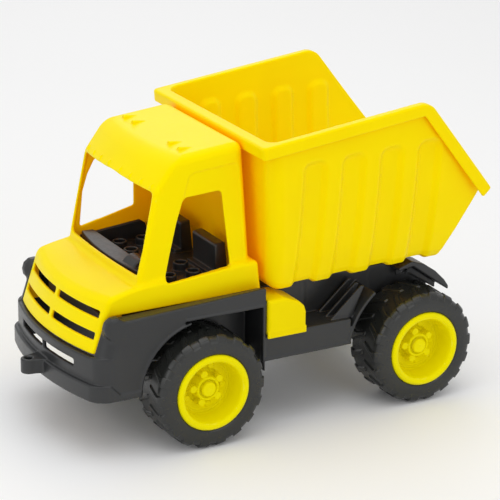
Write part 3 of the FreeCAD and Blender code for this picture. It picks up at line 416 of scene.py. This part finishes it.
def make_cab():
    grid = Grid((5, 126), (0, 52), (61, 176), 0.55)
    axes = grid.axes()
    upper, lower = cab_skin(*axes, 0.0)
    inner_upper, inner_lower = cab_skin(*axes, CAB_WALL)
    shell = cut(join(upper, lower, 2.4), join(inner_upper, inner_lower, 1.0), 0.5)
    shell = cut_front(shell, *axes)
    shell = add_roof_parts(shell, upper, *axes)
    shell = add_screw_posts(shell, *axes)
    # the left side opening is deep, the right one has a high sill
    shell = grid.full(shell)
    grid = grid.both_sides()
    x, y, z = grid.axes()
    left = outline(x, z, [
        (69.4, 97.6), (65.0, 118), (61.4, 133), (57.6, 144.6), (55.4, 147), (34.0, 148.2),
        (32.2, 146.6), (26.2, 101.2)], 2.2)
    shell = cut(shell, meet(left, 30 - y), 0.8)
    right = outline(x, z, [
        (79.2, 105.0), (77.0, 127.0), (73.6, 137.6), (69.4, 145.4), (67.0, 147.6),
        (44.8, 148.2), (43.0, 146.4), (43.0, 113.4)], 1.4)
    shell = cut(shell, meet(right, y + 30), 0.7)
    return surface("cab_shell_moulding", grid, shell)


# ------------------------------------------------------------------ chassis
def fenders(x, y, z):
    """Hollow fender and nose shell, open in the middle for the cab, with a proud lower band."""
    plan = meet(y - FENDER_Y, disc(x, y, NOSE_CENTRE, 0, NOSE_RADIUS), 8.0)
    # the top rises towards the back, more so at its outer edge
    back = np.clip((103 - x) / 92.0, -0.4, 1.05)
    edge_top, middle_top = 83.7 + 4.9 * back, 84.0 + 1.5 * back
    sideways = np.clip((y - 49.8) / 9.7, 0, 1.1)
    lid = (z - (middle_top + (edge_top - middle_top) * sideways)) * 0.97
    body = meet(meet(plan, lid, 1.6), band(x, 8.8, 140), 0.8)
    body = meet(body, 36 - z, 0.5)
    # above the bumper the fender noses lean back with the grille
    lean = meet(barrel(x, y, z, **GRILLE), y - 60.0, 8.0)
    inner_plan = plan + FENDER_WALL
    hollow = meet(meet(inner_plan, z - FENDER_CEILING, 3.0), 11.2 - x, 0.5)
    body = cut(body, meet(hollow, join(lean + FENDER_WALL, z - 59.6), 0.4), 0.4)
    cab_space = y - 50.2
    body = cut(body, join(meet(cab_space, 80 - z), meet(meet(cab_space, 62 - z), 98 - x)), 0.5)
    body = meet(body, join(lean, z - 62.6), 0.6)
    body = cut(body, meet(box(y, z, 0.9, 35, 52.3, 56.6, 1.0), 105 - x), 0.5)
    proud = meet(y - 60.4, disc(x, y, NOSE_CENTRE, 0, NOSE_RADIUS + 2.6), 9.0)
    below = outline(x, z, [
        (80, 40.2), (104, 40.2), (110, 46.4), (150, 46.4), (150, 20), (80, 20)], 0.6)
    proud = meet(meet(proud, below, 0.9), 36 - z, 0.6)
    proud = cut(meet(proud, 80 - x), meet(inner_plan, z - 50), 0.4)
    return join(body, proud, 0.5)


def add_tow_lug(body, x, y, z):
    eye_x = 134.4
    flare = outline(x, y, [(121, -8.2), (eye_x, -4.6), (eye_x, 4.6), (121, 8.2)])
    plan = join(disc(x, y, eye_x, 0, 4.8), flare, 0.4)
    body = join(body, meet(meet(plan, 121.5 - x), band(z, 38, 47), 0.7), 0.8)
    return cut(body, disc(x, y, eye_x, 0, 2.2), 0.5)


def add_centre_frame(body, x, y, z):
    """Long hollow box down the middle, with cross ribs."""
    side = outline(x, z, [
        (-112, 52), (-84, 44), (104, 44), (104, 80), (11, 80), (5, 81.2), (-96, 81.2),
        (-104, 77.4), (-117, 67.6), (-117, 56)], 0.8)
    frame_box = meet(side, y - 38, 0.6)
    below = meet(box(x, z, -114, 101.5, 35, FENDER_CEILING, 1.0), y - 35.6, 0.6)
    rear_well = meet(box(x, z, -114, -78, 60, 90, 1.0), y - 35.6, 0.6)
    body = join(body, cut(frame_box, join(below, rear_well), 0.4), 0.6)
    bulkhead = meet(box(x, z, 8.4, 11, 42.5, 80, 0.4), y - FENDER_Y, 0.4)
    body = join(body, bulkhead, 0.6)
    for back in (-30, -76):
        rib = meet(box(x, z, back, back + 2, 44, 79, 0.3), y - 38)
        body = join(body, rib, 0.4)
    return body


def add_sills(body, x, y, z):
    """Side sills behind the front wheels, hollow below, with a lip."""
    sill = meet(box(x, z, -50, 10.2, 42.5, 58.6, 1.0), band(y, 37, FENDER_Y), 0.8)
    hollow = meet(box(x, z, -48, 8.4, 40, 56.6, 0.8), band(y, 38, FENDER_Y - 2), 0.4)
    lip = meet(box(x, z, -50, 11, 42.5, 44.3, 0.6), band(y, 57.6, 60.3), 0.6)
    return join(join(body, cut(sill, hollow, 0.3), 0.5), lip, 0.5)


def add_rear_guards(body, x, y, z):
    """Curved strips ahead of the rear wheels with gussets, and sloping wings over them."""
    strip = band(np.hypot(x - REAR_AXLE, z - AXLE_HEIGHT), 46.4, 48.4)
    wedge = outline(x, z, [(REAR_AXLE, AXLE_HEIGHT), (-35, 47), (-35, 95), (-49, 95)])
    body = join(body, meet(meet(strip, wedge, 0.6), band(y, 37, 60.5), 0.6), 0.5)
    gusset_side = outline(x, z, [
        (-36, 57.6), (-52, 57.6), (-60.5, 76.4), (-58.4, 77.4)])
    for inner in (40.2, 48.4, 54.6):
        body = join(body, meet(gusset_side, band(y, inner, inner + 1.6), 0.4), 0.4)
    wing = outline(x, z, [
        (-88, 81.4), (-97.4, 84.4), (-106, 81.4), (-114.6, 75.4), (-121.2, 68.8),
        (-124.2, 64.4), (-124.4, 61.6), (-98, 81.0), (-88, 79.4)], 0.3)
    rib = outline(x, z, [
        (-92, 80.6), (-92, 73.4), (-101, 73.0), (-120.5, 60.4), (-120.5, 65.6),
        (-98, 82.0)], 0.4)
    body = join(body, meet(wing, band(y, 37, 51.5), 0.5), 0.4)
    return join(body, meet(rib, band(y, 40.4, 42.2), 0.4), 0.4)


def add_wheel_mounts(body, x, y, z):
    """Bearings, the front wheel openings and the axle tubes."""
    for axle in (FRONT_AXLE, REAR_AXLE):
        side = box(x, z, axle - 8, axle + 8, 28, 48, 2.0)
        body = join(body, meet(side, band(y, 33, 38), 0.6), 0.5)
    opening = join(disc(x, z, FRONT_AXLE, AXLE_HEIGHT, OPENING_RADIUS),
                   box(x, z, 11, 62, 15, FENDER_CEILING, 1.0))
    front = FRONT_AXLE + OPENING_RADIUS
    opening = join(opening, box(x, z, FRONT_AXLE, front, 15, AXLE_HEIGHT))
    body = cut(body, meet(opening, 38 - y), 0.35)
    for axle in (FRONT_AXLE, REAR_AXLE):
        body = cut(body, meet(box(x, z, axle - 9, axle + 9, 20, 60), y - 33.0))
        tube = meet(disc(x, z, axle, AXLE_HEIGHT, 6.2), y - 43.9, 0.4)
        body = join(body, tube, 0.6)
    return body


def add_opening_bead(body, x, y, z):
    across = band(y, 57.1, 60.1)
    bead_top = FENDER_CEILING + BEAD
    ring = np.hypot(x - FRONT_AXLE, z - AXLE_HEIGHT)
    ring = meet(band(ring, OPENING_RADIUS, OPENING_RADIUS + BEAD), across, 0.6)
    ring = meet(ring, meet(58.2 - x, 36.2 - z))
    top = meet(box(x, z, 9.6, 62, FENDER_CEILING, bead_top, 0.5), across, 0.6)
    back = meet(box(x, z, 9.6, 11, 42.5, bead_top, 0.4), across, 0.6)
    return join(body, join(join(ring, top, 0.3), back, 0.3), 0.4)


def add_fender_knobs(body, x, y, z):
    """Knob on the front top corner of each fender."""
    side = outline(x, z, [
        (100.8, 74), (101.4, 84.4), (103.8, 86.4), (108.2, 86.2), (111.4, 83.8), (112.6, 80),
        (112, 76.4), (107, 71)], 1.6)
    return join(body, meet(side, band(y, 52.2, 59.0), 2.2), 1.8)


def drill_chassis(body, x, y, z):
    for hole_x, hole_z in ((FRONT_AXLE, AXLE_HEIGHT), (REAR_AXLE, AXLE_HEIGHT), HINGE):
        body = cut(body, disc(x, z, hole_x, hole_z, FRAME_HOLE))
    for hole_x in SCREW_X:
        body = cut(body, meet(disc(x, y, hole_x, SCREW_Y, 1.6), 70 - z))
    return body


def make_chassis():
    grid = Grid((-127, 143), (0, 62.5), (26, 92), 0.62)
    body = fenders(*grid.axes())
    for change in (add_tow_lug, add_centre_frame, add_sills, add_rear_guards,
                   add_wheel_mounts, add_opening_bead, add_fender_knobs, drill_chassis):
        body = change(body, *grid.axes())
    return surface("chassis_moulding", grid, body)


# ------------------------------------------------------------------ seat tub
def make_interior():
    grid = Grid((17, 88), (0, 47), (78, 115), 0.5)
    x, y, z = grid.axes()
    deck, half_width, wall = 91.4, 44.4, 2.0
    tub = meet(box(x, z, 19.4, 80, 80.1, 92.4, 0.5), y - half_width, 0.5)
    tub = cut(tub, meet(box(x, z, 21.4, 78, 76, 90.4), y - (half_width - wall)), 0.2)
    dash = outline(x, z, [
        (70.6, 100.4), (71.4, 103.0), (84.4, 103.6), (84.4, 98), (80, deck), (78, deck),
        (78, 100.4)], 0.5)
    dash_radius = 194
    dash = meet(meet(dash, y - 43.0, 0.5), disc(x, y, 84.2 - dash_radius, 0, dash_radius), 0.5)
    tub = join(tub, dash, 0.5)
    seat_y = band(y, 7.8, 36.4)
    back = outline(x, z, [
        (21.6, deck), (30.4, deck), (31.0, 110.6), (30.2, 111.8), (25.0, 112.4),
        (23.8, 111.6)], 0.8)
    cushion = outline(x, z, [(29, deck), (34.6, deck), (34.2, 94.6), (29, 95.0)], 0.5)
    tub = join(join(tub, meet(back, seat_y, 1.0), 0.4), meet(cushion, seat_y, 0.6), 0.4)
    for stud_x in (59.1, 43.1):
        for stud_y in (16.6, 32.6):
            centre = np.hypot(x - stud_x, y - stud_y)
            tub = join(tub, meet(centre - 4.6, band(z, 91, 97), 0.45), 0.25)
            tub = cut(tub, meet(centre - 3.3, 89 - z), 0.3)
    # a raised wall on the right only, and a rounded hump on the left
    tub = grid.full(tub)
    grid = grid.both_sides()
    x, y, z = grid.axes()
    side = outline(x, z, [(33, deck), (36.5, 101.6), (40, 104.2), (80, 100.6), (80, 90.4)], 0.6)
    tub = join(tub, meet(side, band(-y, half_width - wall, half_width), 0.5), 0.4)
    hump = meet(disc(x, z, 74.4, 100.2, 7.0), band(y, 15, 30), 1.2)
    hump = meet(hump, meet(band(x, 69.4, 81), 99.5 - z, 0.5), 0.8)
    return surface("seat_tub_moulding", grid, join(tub, hump, 0.6))


# ------------------------------------------------------------------ side tanks
def make_tank(name, left):
    """Tank shaped on the left side, hollow and open below; the right one is its mirror image."""
    grid = Grid((-20, 10), (36, 63), (55, 83), 0.45)
    x, y, z = grid.axes()
    back, front, inner, outer, wall = -18, 8.2, 38.1, 61.0, 2.0
    side = outline(x, z, [
        (front, 58.7), (front, 80.4), (-3, 80.6), (-13.4, 76.4), (-16.8, 73.2),
        (back, 69.5), (back, 58.7)], 1.0)
    tank = meet(side, band(y, inner, outer), 2.2)
    lip = meet(box(x, z, back, front, 56.6, 61, 0.5), band(y, 59.6, outer), 0.4)
    tank = cut(tank, meet(side + wall, band(y, inner + wall, outer - wall), 1.0))
    mouth = box(x, z, back + wall, front - wall, 50, 64, 0.5)
    tank = cut(tank, meet(mouth, band(y, 41.0, outer - wall), 0.3), 0.2)

    def mirror(points):
        return points * (1, -1, 1)

    return surface(name, grid, join(tank, lip, 0.4), None if left else mirror)


# ------------------------------------------------------------------ wheels
# turned section of the rim: radius, distance out along the axle
RIM_SECTION = [
    (WHEEL_BORE, 44.3), (7.0, 44.3), (7.6, 56), (19.0, 56), (19.4, 44.7), (21.4, 44.7),
    (21.4, 69.8), (23.4, 69.8), (23.4, 71.3), (22.8, 72.4), (21.8, 73.1), (21.0, 73.2),
    (19.9, 72.9), (19.0, 72.0), (18.6, 70.8), (17.3, 60.6), (16.6, 59.6), (16.6, 58.9),
    (15.6, 58.9), (15.6, 58.3), (10.8, 58.3), (10.8, 57.4), (8.6, 57.4), (8.2, 58.4),
    (7.4, 64.4), (6.9, 65.0), (6.1, 65.0), (5.6, 64.4), (5.4, 63.5), (WHEEL_BORE, 63.5)]
# two rings of five round studs: first angle, ring radius, stud radius, inner and outer y
RIM_STUDS = ((5, 9.1, 2.35, 57, 64.2), (41, 12.5, 2.0, 56.8, 59.3))


def make_rim():
    grid = Grid((-24.5, 24.5), (43, 75), (-24.5, 24.5), 0.33)
    x, y, z = grid.axes()
    from_axle = np.hypot(x, z)
    # the section is sampled once by radius, then looked up round the axle
    radius_step = 0.12
    radii = np.arange(0, 36, radius_step)
    section = outline(radii[:, None], y.ravel()[None, :], RIM_SECTION, 0.18)
    place_in = np.clip(from_axle / radius_step, 0, len(radii) - 2)
    row = place_in.astype(int)
    part = (place_in - row).astype(FLOAT)
    column = np.arange(y.size)[None, :, None]
    rim = section[row, column] * (1 - part) + section[row + 1, column] * part
    for i in range(5):
        for first, ring, radius, low, high in RIM_STUDS:
            angle = math.radians(first + 72 * i)
            stud = disc(x, z, ring * math.cos(angle), ring * math.sin(angle), radius)
            rim = join(rim, meet(stud, band(y, low, high), 0.5), 0.3)
    return surface("rim_shape", grid, cut(rim, from_axle - WHEEL_BORE))


LUG_COUNT = 18
TYRE_RADIUS = AXLE_HEIGHT
TYRE_INNER, TYRE_OUTER = 41.2, 72.2
TYRE_MIDDLE = (TYRE_INNER + TYRE_OUTER) / 2
# outer bead to tread edge: radius, y; then the number of steps from each point to the next
SHOULDER = [
    (22.6, 69.7), (23.4, 71.4), (24.4, 72.05), (26.0, TYRE_OUTER), (28.6, 72.15),
    (30.6, 71.85), (31.9, 71.2), (32.9, 70.2), (33.6, 69.0), (34.0, 67.8), (34.1, 66.6)]
SHOULDER_STEPS = [3, 3, 2, 3, 3, 3, 4, 4, 4, 4]
# hidden inside of the carcass, from the inner bead to the outer one: radius, y
TYRE_INSIDE = [
    (21.4, 45.0), (21.4, 50), (25, 50), (29.2, 52), (30.2, 56), (30.2, 60), (29.2, 64),
    (25, 66), (21.4, 66), (21.4, 69.0)]


def tyre_section():
    """Closed section of the plain carcass, and how many of its points are on the outside."""
    # the inner shoulder is squarer than the outer one
    inner = [(radius, TYRE_INNER + (TYRE_OUTER - y) * 0.5) for radius, y in SHOULDER[::-1]]
    corners = SHOULDER + inner
    counts = SHOULDER_STEPS + [60] + SHOULDER_STEPS[::-1]
    points = []
    for start, end, count in zip(corners, corners[1:], counts):
        for i in range(count):
            part = i / count
            points.append([a + (b - a) * part for a, b in zip(start, end)])
    points.append(corners[-1])
    return np.array(points + TYRE_INSIDE), len(points)


def tread_bars(angle, y, side):
    """1 on the slanted bars of one half (side 1 outer, -1 inner), 0 between them."""
    from_middle = (y - TYRE_MIDDLE) * side
    pitch = 2 * math.pi / LUG_COUNT
    # the halves are staggered by half a pitch
    phase = angle if side > 0 else angle + pitch / 2
    # the bar runs square over the shoulder, then slants across to the middle
    lean = np.interp(from_middle, [-2, 0, 3, 9.0, 12.0, 15.5], [6.0, 5.0, 3.6, 1.1, 0.1, 0.0])
    around = (np.mod(phase - lean / 33.0 + pitch / 2, pitch) - pitch / 2) * 34.0
    half_width = np.interp(
        from_middle, [-2, 0.5, 8.0, 10.6, 12.0, 15.5], [1.2, 1.35, 1.6, 2.0, 3.1, 3.2])
    across = ease((half_width - np.abs(around)) / 0.5 + 0.5)
    return across * ease((from_middle - (0.4 if side > 0 else 1.0)) / 0.9 + 0.5)


def make_tyre():
    """A turned carcass with slanted bars raised on each half."""
    section, outside_count = tyre_section()
    turns = LUG_COUNT * 40
    angle = (np.arange(turns) / turns * 2 * math.pi)[:, None]
    radius, y = section.T
    bars = np.maximum(tread_bars(angle, y, 1), tread_bars(angle, y, -1))
    bars[:, outside_count:] = 0
    # full height over the tread, running down to nothing low on the sidewall
    tall = ease((radius - 30.2) / 1.8)
    from_middle = np.abs(y - TYRE_MIDDLE)
    bar_radius = TYRE_RADIUS - np.where(
        y > TYRE_MIDDLE,
        np.clip(from_middle - 11.6, 0, 4) ** 1.5 * 0.32,
        np.clip(from_middle - 13.6, 0, 4) ** 1.5 * 0.42)
    height = np.maximum((bar_radius - radius) * bars * tall, 0)
    # raised less where the section faces sideways
    along = np.roll(section, -1, 0) - np.roll(section, 1, 0)
    facing = np.abs(along[:, 1]) / np.linalg.norm(along, axis=1)
    radius = radius + height * facing ** 0.3
    points = np.stack([
        radius * np.cos(angle), np.broadcast_to(y, radius.shape), radius * np.sin(angle)], -1)
    here = np.arange(radius.size).reshape(radius.shape)
    after = np.roll(here, -1, 0)
    quads = np.stack([here, np.roll(here, -1, 1), np.roll(after, -1, 1), after], -1)
    return mesh_of("tyre_shape", points.reshape(-1, 3), quads.reshape(-1, 4))


# ------------------------------------------------------------------ materials
def add_node(tree, kind, inputs, **settings):
    node = tree.nodes.new("ShaderNode" + kind)
    for key, value in settings.items():
        setattr(node, key, value)
    feed(tree, node, inputs)
    return node


def feed(tree, node, inputs):
    """Link or set each input; a tuple is an RGB colour."""
    for key, value in inputs.items():
        if isinstance(value, bpy.types.NodeSocket):
            tree.links.new(value, node.inputs[key])
        elif isinstance(value, tuple):
            node.inputs[key].default_value = (*value, 1)
        else:
            node.inputs[key].default_value = value


def new_material(name):
    material = bpy.data.materials.new(name)
    material.use_nodes = True
    tree = material.node_tree
    tree.nodes.clear()
    output = tree.nodes.new("ShaderNodeOutputMaterial")
    shader = tree.nodes.new("ShaderNodeBsdfPrincipled")
    tree.links.new(shader.outputs[0], output.inputs[0])
    position = add_node(tree, "TexCoord", {}).outputs["Object"]
    return material, tree, shader, position


def noise(tree, position, scale, detail, rough=0.5):
    inputs = {"Scale": scale, "Detail": detail, "Roughness": rough, "Vector": position}
    return add_node(tree, "TexNoise", inputs).outputs[0]


def remap(tree, value, from_low, from_high, to_low=0.0, to_high=1.0):
    inputs = dict(enumerate((value, from_low, from_high, to_low, to_high)))
    return add_node(tree, "MapRange", inputs).outputs[0]


def mix_colour(tree, factor, a, b):
    return add_node(tree, "Mix", {0: factor, 6: a, 7: b}, data_type="RGBA").outputs[2]


def multiply(tree, a, b):
    return add_node(tree, "Math", {0: a, 1: b}, operation="MULTIPLY").outputs[0]


def bump(tree, height, distance, strength=1.0, **normal):
    inputs = {"Strength": strength, "Distance": distance, "Height": height, **normal}
    return add_node(tree, "Bump", inputs).outputs[0]


def plastic(name, colours, worn, rough, wear, grain=0.000008, specular=0.5, tint=(1, 1, 1),
            painted_glow=None, reach=0.045):
    """Moulded plastic of two mottled colours, worn on sharp edges, with a fine grain.
    The optional glow colour is painted into pockets found by ambient occlusion and faintly
    emitted there: painted shade and glow standing in for light through the translucent plastic;
    reach is the size of those pockets."""
    material, tree, shader, position = new_material(name)
    edges = add_node(tree, "NewGeometry", {}).outputs["Pointiness"]
    mottle = noise(tree, position, scale=22.0, detail=2.0)
    fine = noise(tree, position, scale=400.0, detail=4.0, rough=0.6)
    base = mix_colour(tree, remap(tree, mottle, 0.35, 0.65), *colours)
    edge = remap(tree, edges, 0.545, 0.60, to_high=wear)
    scratches = noise(tree, position, scale=90.0, detail=5.0, rough=0.7)
    worn_amount = multiply(tree, edge, remap(tree, scratches, 0.45, 0.62))
    # painted shade and glow: orange mixed into the base colour where ambient occlusion finds
    # pockets, and emitted faintly there, in place of light passing through the thin walls; the
    # subsurface settings are real translucency
    if painted_glow:
        shelter = add_node(tree, "AmbientOcclusion", {"Distance": reach}, samples=6)
        depth = remap(tree, shelter.outputs["AO"], 0.22, 0.74, to_low=1.0, to_high=0.0)
        base = mix_colour(tree, depth, base, painted_glow)
        feed(tree, shader, {
            "Emission Color": painted_glow,
            "Emission Strength": multiply(tree, depth, 0.07),
            "Subsurface Weight": 0.2,
            "Subsurface Radius": [0.004, 0.003, 0.0004],
            "Subsurface Scale": 0.6})
    wave = bump(tree, noise(tree, position, scale=55.0, detail=1.0), distance=0.00002)
    pores = noise(tree, position, scale=2500.0, detail=2.0)
    feed(tree, shader, {
        "Base Color": mix_colour(tree, worn_amount, base, worn),
        "Roughness": remap(tree, fine, 0.3, 0.7, *rough),
        "Normal": bump(tree, pores, distance=grain, strength=0.6, Normal=wave),
        "Specular IOR Level": specular,
        "Specular Tint": tint})
    return material


def steel(name):
    """Drawn steel, its streaks running along Y."""
    material, tree, shader, position = new_material(name)
    stretch = add_node(tree, "Mapping", {0: position, "Scale": [1.0, 0.04, 1.0]})
    streaks = noise(tree, stretch.outputs[0], scale=1600.0, detail=3.0)
    feed(tree, shader, {
        "Base Color": mix_colour(tree, streaks, (0.52, 0.52, 0.53), (0.68, 0.68, 0.69)),
        "Roughness": remap(tree, streaks, 0.3, 0.7, to_low=0.24, to_high=0.42),
        "Metallic": 1.0,
        "Normal": bump(tree, streaks, distance=0.00002)})
    return material


YELLOW = dict(worn=(1.0, 0.88, 0.08), wear=0.35, tint=(1.0, 0.86, 0.12))
MATERIALS = {
    # orange painted into the cab's hollows and faintly emitted: a painted glow of light through
    # the plastic
    "yellow_shell": plastic(
        "yellow_cab", colours=((1.0, 0.79, 0.0), (0.97, 0.76, 0.0)), rough=(0.28, 0.36),
        specular=0.12, painted_glow=(1.0, 0.50, 0.0), reach=0.11, **YELLOW),
    # orange painted into the bed's hollows and faintly emitted: a painted glow of light through
    # the plastic
    "yellow_bed": plastic(
        "yellow_bed", colours=((1.0, 0.77, 0.0), (0.97, 0.74, 0.0)), rough=(0.30, 0.38),
        specular=0.12, painted_glow=(0.98, 0.53, 0.0), **YELLOW),
    "yellow_tank": plastic(
        "yellow_tank", colours=((0.93, 0.75, 0.0), (0.90, 0.71, 0.0)), rough=(0.28, 0.34),
        specular=0.15, **YELLOW),
    "yellow_rim": plastic(
        "yellow_rim", colours=((0.90, 0.80, 0.0), (0.86, 0.765, 0.0)), rough=(0.28, 0.36),
        specular=0.2, **{**YELLOW, "worn": (1.0, 0.92, 0.10)}),
    "black_shell": plastic(
        "black_chassis", colours=((0.017, 0.018, 0.019), (0.022, 0.023, 0.024)),
        worn=(0.06, 0.06, 0.06), rough=(0.30, 0.40), grain=0.00001, wear=0.45),
    "black_interior": plastic(
        "black_tub", colours=((0.012, 0.0125, 0.013), (0.017, 0.0175, 0.018)),
        worn=(0.05, 0.05, 0.05), rough=(0.32, 0.42), grain=0.00001, wear=0.4),
    "tyre_black": plastic(
        "black_tyre", colours=((0.0115, 0.0125, 0.0115), (0.0155, 0.0165, 0.015)),
        worn=(0.06, 0.062, 0.06), rough=(0.26, 0.34), wear=0.5, specular=0.55),
    "steel": steel("drawn_steel"),
}


# ------------------------------------------------------------------ pieces
def register(obj, body, node):
    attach(obj, body)
    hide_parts(node)


def place(obj, body, slot, node):
    outward(obj).data.materials.append(MATERIALS[slot])
    register(obj, body, node)


def place_wheels():
    """Four rims and tyres sharing two meshes; the right-hand ones are turned about."""
    kinds = (("rim", "yellow_rim", outward(make_rim())),
             ("tyre", "tyre_black", outward(make_tyre())))
    for _, slot, source in kinds:
        source.data.materials.append(MATERIALS[slot])
    for end, axle in (("front", FRONT_AXLE), ("rear", REAR_AXLE)):
        for side, turn in (("left", Matrix.Identity(4)),
                           ("right", Matrix.Rotation(math.pi, 4, "Z"))):
            corner = end + "_" + side
            centre = Matrix.Translation((axle / 1000, 0, AXLE_HEIGHT / 1000))
            for kind, slot, source in kinds:
                obj = add_object("moulded_%s_%s" % (kind, corner), source.data)
                obj.matrix_world = centre @ turn
                register(obj, "wheel_" + corner, "%s_%s" % (kind, corner))
    for _, _, source in kinds:
        bpy.data.objects.remove(source)


place(make_chassis(), "chassis_body", "black_shell", "chassis")
place(make_cab(), "chassis_body", "yellow_shell", "cab_shell")
place(make_interior(), "chassis_body", "black_interior", "cab_interior")
place(make_bed(), "bed", "yellow_bed", "dump_bed")
for side in ("left", "right"):
    tank = make_tank("side_tank_" + side, side == "left")
    place(tank, "chassis_body", "yellow_tank", "fuel_tank_" + side)
place_wheels()

# CAD pieces that still show: hub caps yellow, the rest steel
for node_name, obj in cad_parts.items():
    if obj.hide_render:
        continue
    material = MATERIALS["yellow_rim" if node_name.startswith("hub_cap") else "steel"]
    if not obj.material_slots:
        obj.data.materials.append(material)
    for material_slot in obj.material_slots:
        material_slot.material = material


# ------------------------------------------------------------------ camera, floor, light
def add_camera():
    camera = bpy.data.cameras.new("cam")
    camera.sensor_width, camera.lens = 36.0, 170.004
    camera.shift_x, camera.shift_y = 0.00241, 0.00303
    camera.clip_start, camera.clip_end = 0.05, 30.0
    obj = add_object("cam", camera)
    right = (-0.87406963, 0.48566963, 0.01128208, 0)
    up = (-0.15638848, -0.3032912, 0.93997718, 0)
    backward = (0.45994012, 0.81984112, 0.34105076, 0)
    location = (0.64708, 1.1753, 0.57738, 1)
    obj.matrix_world = Matrix((right, up, backward, location)).transposed()
    bpy.context.scene.camera = obj


def floor_material():
    material, tree, shader, position = new_material("pale_floor")
    mottle = noise(tree, position, scale=3.0, detail=2.0)
    feed(tree, shader, {
        "Base Color": mix_colour(tree, mottle, (0.93, 0.93, 0.93), (0.95, 0.95, 0.95)),
        "Roughness": 0.7})
    return material


def add_floor(half=6.0):
    mesh = bpy.data.meshes.new("floor")
    corners = [(-half, -half, 0), (half, -half, 0), (half, half, 0), (-half, half, 0)]
    mesh.from_pydata(corners, [], [(0, 1, 2, 3)])
    floor = add_object("floor", mesh)
    mesh.materials.append(floor_material())


def add_lamp(name, location, size, power):
    """Square area lamp aimed at the truck."""
    light = bpy.data.lights.new(name, "AREA")
    light.shape = "RECTANGLE"
    light.size = light.size_y = size
    light.energy = power
    obj = bpy.data.objects.new(name, light)
    obj.location = location
    aim = Vector((0, 0, 0.08)) - Vector(location)
    obj.rotation_mode = "QUATERNION"
    obj.rotation_quaternion = aim.to_track_quat("-Z", "Y")
    bpy.context.scene.collection.objects.link(obj)


add_camera()
add_floor()
add_lamp("top_soft", (0.10, 0.10, 1.25), size=1.2, power=4.6)
add_lamp("front_soft", (1.3, 0.35, 0.6), size=0.8, power=1.9)
add_lamp("side_soft", (-0.25, 1.35, 0.65), size=0.8, power=2.0)
add_lamp("far_rim", (-0.5, -1.2, 0.9), size=0.7, power=1.6)

scene = bpy.context.scene
world = bpy.data.worlds.new("studio")
scene.world = world
world.use_nodes = True
background = world.node_tree.nodes["Background"]
background.inputs["Color"].default_value = (1.0, 1.0, 1.0, 1)
background.inputs["Strength"].default_value = 0.72
scene.view_settings.view_transform = "Standard"
scene.view_settings.look = "None"
scene.view_settings.exposure = 0.0
